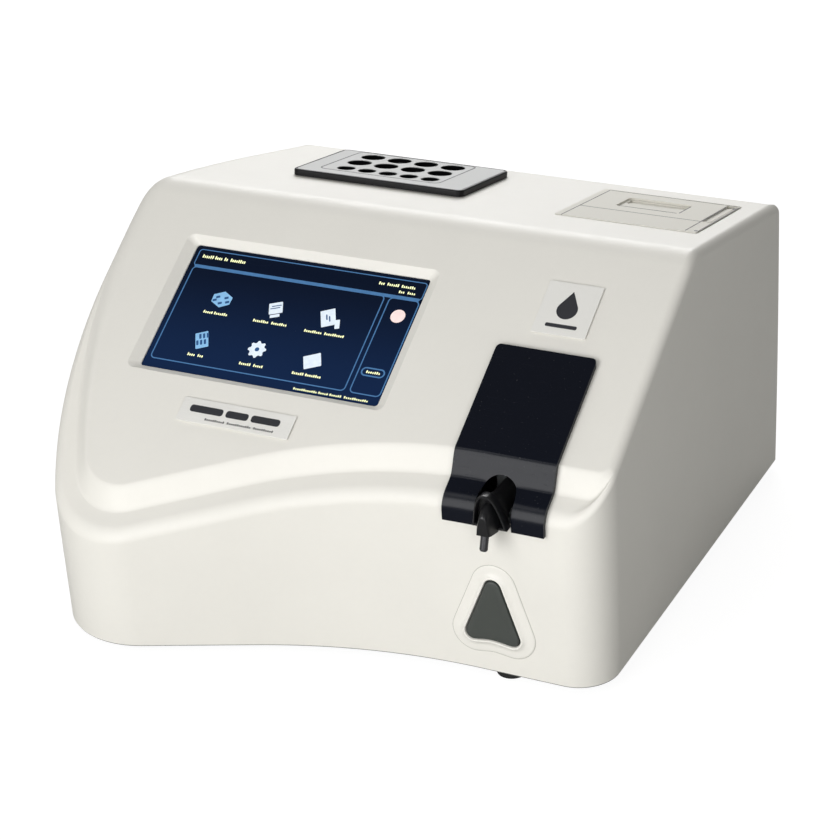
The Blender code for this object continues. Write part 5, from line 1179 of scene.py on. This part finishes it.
def make_incubator():
    settings = bpy.context.scene.analyzer_incubator
    black = moulded("incubator_black", (0.005, 0.005, 0.006), 0.34, 0.0006, 0.000006, 0.12,
                    Specular_IOR_Level=0.22)
    silver = brushed("incubator_silver", tuple(settings.face), 0.50, (2.0, 30.0, 2.0), 0.10)
    grey = moulded("incubator_line", (0.060, 0.060, 0.063), 0.50, 0.0006, 0.000004)
    dark = brushed("dark_aluminium", (0.022, 0.022, 0.024), 0.50, metallic=0.6)
    corners = rectangle(INCUBATOR_WIDTH + RIM_LIP, INCUBATOR_DEPTH, INCUBATOR_CORNER)
    top = INCUBATOR_HEIGHT
    profile = ((0.0, GAP), (0.0, top - 0.0010), (0.0002, top - 0.0004), (0.0006, top - 0.0001), (0.0010, top))
    rim = raw("incubator_rim", loft(stepped(corners, profile)), INCUBATOR)
    inner = 2 * (OPENING_MARGIN + SLIDE_GAP)
    skirt = slab(INCUBATOR_WIDTH - inner, INCUBATOR_DEPTH - inner, -COLLAR_DEPTH, top / 2)
    carve(rim, raw("skirt", skirt, INCUBATOR), operation="UNION")
    sunk = loft(stepped(corners, ((FACE_MARGIN, top - FACE_THICKNESS - GAP), (FACE_MARGIN, top + PAST))))
    mouths = bmesh.new()
    bores = bmesh.new()
    for x, t, radius in WELLS:
        y = CREASE_Y + t * math.cos(ROOF_ANGLE) + top * math.sin(ROOF_ANGLE)
        wide = circle(radius + 0.0003, 40, x, y)
        loft([level(wide, BLOCK_LOW_Z), level(wide, TALL)], bm=mouths)
        narrow = circle(radius, 40, x, y)
        loft([level(narrow, BLOCK_LOW_Z + WELL_FLOOR), level(narrow, TALL)], bm=bores)
    cutter = raw("mouths", mouths)
    again = cutter.copy()
    bpy.context.scene.collection.objects.link(again)
    carve(rim, raw("pocket", sunk, INCUBATOR), cutter)
    finished(rim, black, "case", math.radians(35), slot="black_moulding")
    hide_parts("incubator_frame")
    margin = FACE_MARGIN + GAP
    plate = loft(stepped(corners, ((margin, top - FACE_THICKNESS), (margin, top))))
    face = raw("incubator_face", plate, INCUBATOR)
    carve(face, again)
    finished(face, silver, "case", math.radians(35), settings.chamfer, "silver_label")
    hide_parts("incubator_label")
    ring = bmesh.new()
    ring_line(ring, rectangle(*FACE_RING), FACE_RING_WIDTH, top - PRINT_SUNK, top + PRINT_HIGH)
    flat_print_or_painted_shade("incubator_ring", ring, grey, INCUBATOR, "silver_label")
    width = INCUBATOR_WIDTH - 2 * BLOCK_MARGIN
    depth = (INCUBATOR_DEPTH - 2 * BLOCK_MARGIN) * math.cos(ROOF_ANGLE)
    y = CREASE_Y + INCUBATOR_T * math.cos(ROOF_ANGLE) + top * math.sin(ROOF_ANGLE)
    block = raw("incubator_well_block", slab(width, depth, BLOCK_LOW_Z, CREASE_Z, x=INCUBATOR_X, y=y))
    above = raw("above", slab(2 * width, 2 * depth, -COLLAR_DEPTH - GAP, TALL), INCUBATOR)
    carve(block, above, raw("bores", bores))
    finished(block, dark, "case", math.radians(35), slot="dark_aluminium")
    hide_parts("incubator_block")


def make_printer():
    cream = bpy.data.materials["case_cream"]
    # The dark lines on the door's seams, along the frame's right edge and along the grip recess's front and
    # right edges are painted shade in the gaps; the two discs mark the door's pivot pins in the same dark
    # grey.
    shade = moulded("printer_seam", (0.085, 0.085, 0.083), 0.55, 0.0006, 0.000004)
    dressed("printer_frame", cream, "case_cream", 0.0003)
    dressed("printer_door", cream, "case_cream", 0.0003)
    low = PRINTER_PROUD - PRINT_SUNK
    high = PRINTER_PROUD + PRINT_HIGH
    left = DOOR_X - DOOR_WIDTH / 2
    right = DOOR_X + DOOR_WIDTH / 2
    front = PRINTER_T - PRINTER_DEPTH / 2
    rear = PRINTER_T + PRINTER_DEPTH / 2 - DOOR_REAR_MARGIN
    middle = (rear + front) / 2
    edge = PRINTER_X + PRINTER_WIDTH / 2 - 0.0006

    def lines(bm, places):
        for width, depth, x, t in places:
            prism(bm, outline(rectangle(width, depth, 0.0002, x, t), steps=2), low, high)

    seams = bmesh.new()
    lines(seams, (
        (0.0006, rear - front, left, middle),
        (edge - left, 0.0005, (edge + left) / 2, rear + 0.0004),
        (right - left, 0.0006, DOOR_X, SEAM_T - 0.0002),
        (0.0007, rear - front - 0.0060, right + 0.0006, middle - 0.0010),
        (0.0008, rear - front - 0.0050, edge, middle + 0.0010),
    ))
    for t in (front + 0.0045, rear - 0.0060):
        prism(seams, circle(0.0013, 24, DOOR_PIN_X + 0.0022, t), low, high)
    flat_print_or_painted_shade("printer_seams", seams, shade, ROOF, "black_moulding")
    grip = bmesh.new()
    lines(grip, (
        (GRIP_WIDTH - 0.0020, 0.0007, DOOR_X, GRIP_T - GRIP_DEPTH / 2 - 0.0002),
        (0.0007, GRIP_DEPTH - 0.0040, DOOR_X + GRIP_WIDTH / 2 + 0.0002, GRIP_T - 0.0015),
    ))
    flat_print_or_painted_shade("grip_edges", grip, shade, ROOF, "black_moulding", "door")


def make_rear():
    paint = moulded("grey_paint", (0.50, 0.50, 0.48), 0.50, 0.0006, 0.000030, 0.05)
    black = bpy.data.materials["black_moulding"]
    steel = bpy.data.materials["steel"]
    pale = bpy.data.materials["pale_plastic"]
    dressed("rear_panel", paint, "grey_paint", 0.0002)
    for name in ("power_inlet", "switch_frame", "power_switch", "fan_frame", "fan_rotor"):
        dressed(name, black, "black_moulding", 0.0003)
    for name in ("serial_port", "usb_port"):
        dressed(name, steel, "steel", 0.00015)
    steps = bpy.context.scene.analyzer_detail.round_steps
    profile = [(0.0035, -0.0080), (0.0035, GAP), (0.0066, GAP), (0.0070, GAP + 0.0004),
               (0.0070, GAP + 0.0026), (0.0066, GAP + 0.0030), (0.0025, GAP + 0.0030), (0.0025, 0.0110),
               (0.0035, 0.0120), (0.0034, 0.0124), (0.0025, 0.0140), (0.0016, 0.0140), (0.0016, -0.0080)]
    hose_tail = turned(profile, steps, True, WASTE_X, WASTE_Z)
    port = object_of("waste_port_turned", hose_tail, pale, matrix=REAR, slot="pale_plastic")
    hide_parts("waste_port")
    profile = [(0.0015, -0.0060), (0.0015, GAP), (0.0030, GAP), (0.0030, GAP + SCREW_HEAD * 0.55),
               (0.0026, GAP + SCREW_HEAD * 0.85), (0.0018, GAP + SCREW_HEAD)]
    for k, (x, z) in enumerate(SCREWS):
        screw = raw(f"screw_{k + 1}", turned(profile, steps, x=x, y=z), REAR)
        groove = slab(0.0008, 0.0090, GAP + SCREW_HEAD / 2, PAST, x=x, y=z)
        carve(screw, raw("groove", groove, REAR))
        finished(screw, steel, "case", slot="steel")
        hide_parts(f"rear_screw_{k + 1}")


WORKS = {
    "dark_metal": ("filter_motor",),
    "steel": ("lcd_module", "screen_bracket", "door_pin", "pump_motor", "power_supply"),
    "pale_plastic": ("pump_body",),
    "black_moulding": ("pump_rotor",),
    "rubber": ("platen_roller",),
    "aluminium": ("optical_bench",),
    "anodised": ("filter_wheel",),
    "heater_foil": ("heater_plate",),
    "paper": ("paper_roll",),
    "ceramic": ("thermal_head", "lamp_holder"),
    "board_green": ("trigger_switch", "detector_board", "main_board"),
    "clear_glass": ("flow_cell", "halogen_lamp"),
}


def make_works():
    brushed("aluminium", (0.60, 0.61, 0.62), 0.36)
    brushed("anodised", (0.090, 0.090, 0.100), 0.42)
    brushed("heater_foil", (0.42, 0.20, 0.07), 0.42, metallic=0.5)
    moulded("paper", (0.84, 0.84, 0.82), 0.80, 0.0004, 0.000008)
    moulded("ceramic", (0.76, 0.74, 0.68), 0.55, 0.0009, 0.000010)
    board("board_green")
    clear = Finish("clear_glass", (0.86, 0.90, 0.91), 0.04, Alpha=0.35)
    clear.set("Roughness", clear.noise(0.006, 3.0) * 0.05 + 0.02)
    for finish, names in WORKS.items():
        for name in names:
            mesh = frame["nodes"][name].data
            mesh.materials.clear()
            mesh.materials.append(bpy.data.materials[finish])


def make_camera():
    data = bpy.data.cameras.new("camera")
    data.lens = CAMERA_LENS
    data.sensor_width = CAMERA_SENSOR
    data.clip_start = 0.01
    camera = bpy.data.objects.new("camera", data)
    scene = bpy.context.scene
    scene.collection.objects.link(camera)
    turn = Matrix.Rotation(CAMERA_TURN, 4, "Z")
    tilt = Matrix.Rotation(math.pi / 2 - CAMERA_DIP, 4, "X")
    roll = Matrix.Rotation(CAMERA_ROLL, 4, "Z")
    camera.matrix_world = Matrix.Translation(CAMERA_PLACE) @ turn @ tilt @ roll
    scene.camera = camera


def make_sky(brightness):
    """A sky that lights the object at one brightness and is seen as plain white."""
    scene = bpy.context.scene
    world = scene.world or bpy.data.worlds.new("studio")
    scene.world = world
    world.use_nodes = True
    tree = world.node_tree
    tree.nodes.clear()
    rays = tree.nodes.new("ShaderNodeLightPath")
    mix = tree.nodes.new("ShaderNodeMixShader")
    feed(tree, mix.inputs[0], rays.outputs["Is Camera Ray"])
    for port, strength in ((1, brightness), (2, 1.0)):
        shade = tree.nodes.new("ShaderNodeBackground")
        shade.inputs["Color"].default_value = (1.0, 1.0, 1.0, 1.0)
        shade.inputs["Strength"].default_value = strength
        feed(tree, mix.inputs[port], shade.outputs[0])
    out = tree.nodes.new("ShaderNodeOutputWorld")
    feed(tree, out.inputs["Surface"], mix.outputs[0])


def make_floor(share):
    """A floor seen as white but for its share of shadow, and that lights the object as a dull one."""
    pale = Finish("floor", (share,) * 3, 0.9, Specular_IOR_Level=0.0)
    pale.set("Emission Color", (1.0, 1.0, 1.0))
    pale.set("Emission Strength", 1.0 - share * FLOOR_LIGHT)
    dull = pale.node("ShaderNodeBsdfDiffuse", sockets={"Color": FLOOR_BOUNCE})
    mix = pale.tree.nodes.new("ShaderNodeMixShader")
    rays = pale.tree.nodes.new("ShaderNodeLightPath")
    feed(pale.tree, mix.inputs[0], rays.outputs["Is Camera Ray"])
    feed(pale.tree, mix.inputs[1], dull)
    feed(pale.tree, mix.inputs[2], pale.shader.outputs[0])
    feed(pale.tree, pale.tree.nodes["Material Output"].inputs["Surface"], mix.outputs[0])
    bm = bmesh.new()
    prism(bm, circle(FLOOR_RADIUS, 96), -FLOOR_THICKNESS, 0.0)
    mesh = bpy.data.meshes.new("floor")
    bm.to_mesh(mesh)
    bm.free()
    mesh.materials.append(pale.material)
    floor = bpy.data.objects.new("floor", mesh)
    bpy.context.scene.collection.objects.link(floor)


def make_stage():
    stage = bpy.context.scene.analyzer_stage
    scene = bpy.context.scene
    scene.view_settings.view_transform = "Standard"
    make_camera()
    make_sky(stage.sky)
    make_floor(stage.floor)
    for name, (at, size) in LAMPS.items():
        data = bpy.data.lights.new(f"{name}_lamp", "AREA")
        data.shape = "SQUARE"
        data.size = size
        data.energy = getattr(stage, f"{name}_power")
        lamp = bpy.data.objects.new(f"{name}_lamp", data)
        scene.collection.objects.link(lamp)
        way = LAMP_TARGET - Vector(at)
        lamp.matrix_world = Matrix.Translation(at) @ way.to_track_quat("-Z", "Y").to_matrix().to_4x4()


class Step:
    """An operator that runs one of the makers."""

    def execute(self, context):
        self.make()
        return {"FINISHED"}


class ANALYZER_OT_case(Step, bpy.types.Operator):
    """Build the moulded case with its window and openings"""

    bl_idname = "analyzer.case"
    bl_label = "Case"
    make = staticmethod(make_case)


class ANALYZER_OT_base(Step, bpy.types.Operator):
    """Build the base plate and the feet"""

    bl_idname = "analyzer.base"
    bl_label = "Base and feet"
    make = staticmethod(make_base)


class ANALYZER_OT_screen(Step, bpy.types.Operator):
    """Build the screen's pane and picture"""

    bl_idname = "analyzer.screen"
    bl_label = "Screen"
    make = staticmethod(make_screen)


class ANALYZER_OT_plates(Step, bpy.types.Operator):
    """Build the two plates with their plain marks"""

    bl_idname = "analyzer.plates"
    bl_label = "Plates"
    make = staticmethod(make_plates)


class ANALYZER_OT_cover(Step, bpy.types.Operator):
    """Build the flow cell's glossy cover"""

    bl_idname = "analyzer.cover"
    bl_label = "Cover"
    make = staticmethod(make_cover)


class ANALYZER_OT_sampler(Step, bpy.types.Operator):
    """Build the aspirator's hood and its tube"""

    bl_idname = "analyzer.sampler"
    bl_label = "Sampler"
    make = staticmethod(make_sampler)


class ANALYZER_OT_key(Step, bpy.types.Operator):
    """Build the start key and its bezel"""

    bl_idname = "analyzer.key"
    bl_label = "Start key"
    make = staticmethod(make_key)


class ANALYZER_OT_incubator(Step, bpy.types.Operator):
    """Build the incubator's rim, face, line and block"""

    bl_idname = "analyzer.incubator"
    bl_label = "Incubator"
    make = staticmethod(make_incubator)


class ANALYZER_OT_printer(Step, bpy.types.Operator):
    """Build the printer's frame and door"""

    bl_idname = "analyzer.printer"
    bl_label = "Printer"
    make = staticmethod(make_printer)


class ANALYZER_OT_rear(Step, bpy.types.Operator):
    """Build the rear panel with its fan, inlet, switch, ports and screws"""

    bl_idname = "analyzer.rear"
    bl_label = "Rear"
    make = staticmethod(make_rear)


class ANALYZER_OT_works(Step, bpy.types.Operator):
    """Give the pieces inside the case their finishes"""

    bl_idname = "analyzer.works"
    bl_label = "Works"
    make = staticmethod(make_works)


class ANALYZER_OT_stage(Step, bpy.types.Operator):
    """Set the floor, the lamps and the camera"""

    bl_idname = "analyzer.stage"
    bl_label = "Studio"
    make = staticmethod(make_stage)


class ANALYZER_PT_panel(bpy.types.Panel):
    """Lists the analyzer's settings and steps"""

    bl_idname = "ANALYZER_PT_panel"
    bl_label = "Analyzer"
    bl_space_type = "VIEW_3D"
    bl_region_type = "UI"
    bl_category = "Analyzer"

    def draw(self, context):
        column = self.layout.column()
        for name, kind in SETTINGS.items():
            for key in kind.__annotations__:
                column.prop(getattr(context.scene, name), key)
        for step in STEPS:
            column.operator(step.bl_idname)


STEPS = (
    ANALYZER_OT_case, ANALYZER_OT_base, ANALYZER_OT_screen, ANALYZER_OT_plates, ANALYZER_OT_cover,
    ANALYZER_OT_sampler, ANALYZER_OT_key, ANALYZER_OT_incubator, ANALYZER_OT_printer, ANALYZER_OT_rear,
    ANALYZER_OT_works, ANALYZER_OT_stage,
)
CLASSES = (*SETTINGS.values(), *STEPS, ANALYZER_PT_panel)


def register():
    for kind in CLASSES:
        bpy.utils.register_class(kind)
    for name, kind in SETTINGS.items():
        setattr(bpy.types.Scene, name, PointerProperty(type=kind))


def unregister():
    for name in SETTINGS:
        delattr(bpy.types.Scene, name)
    for kind in reversed(CLASSES):
        bpy.utils.unregister_class(kind)


def main():
    register()
    for step in STEPS:
        group, name = step.bl_idname.split(".")
        getattr(getattr(bpy.ops, group), name)()


if __name__ == "__main__":
    main()
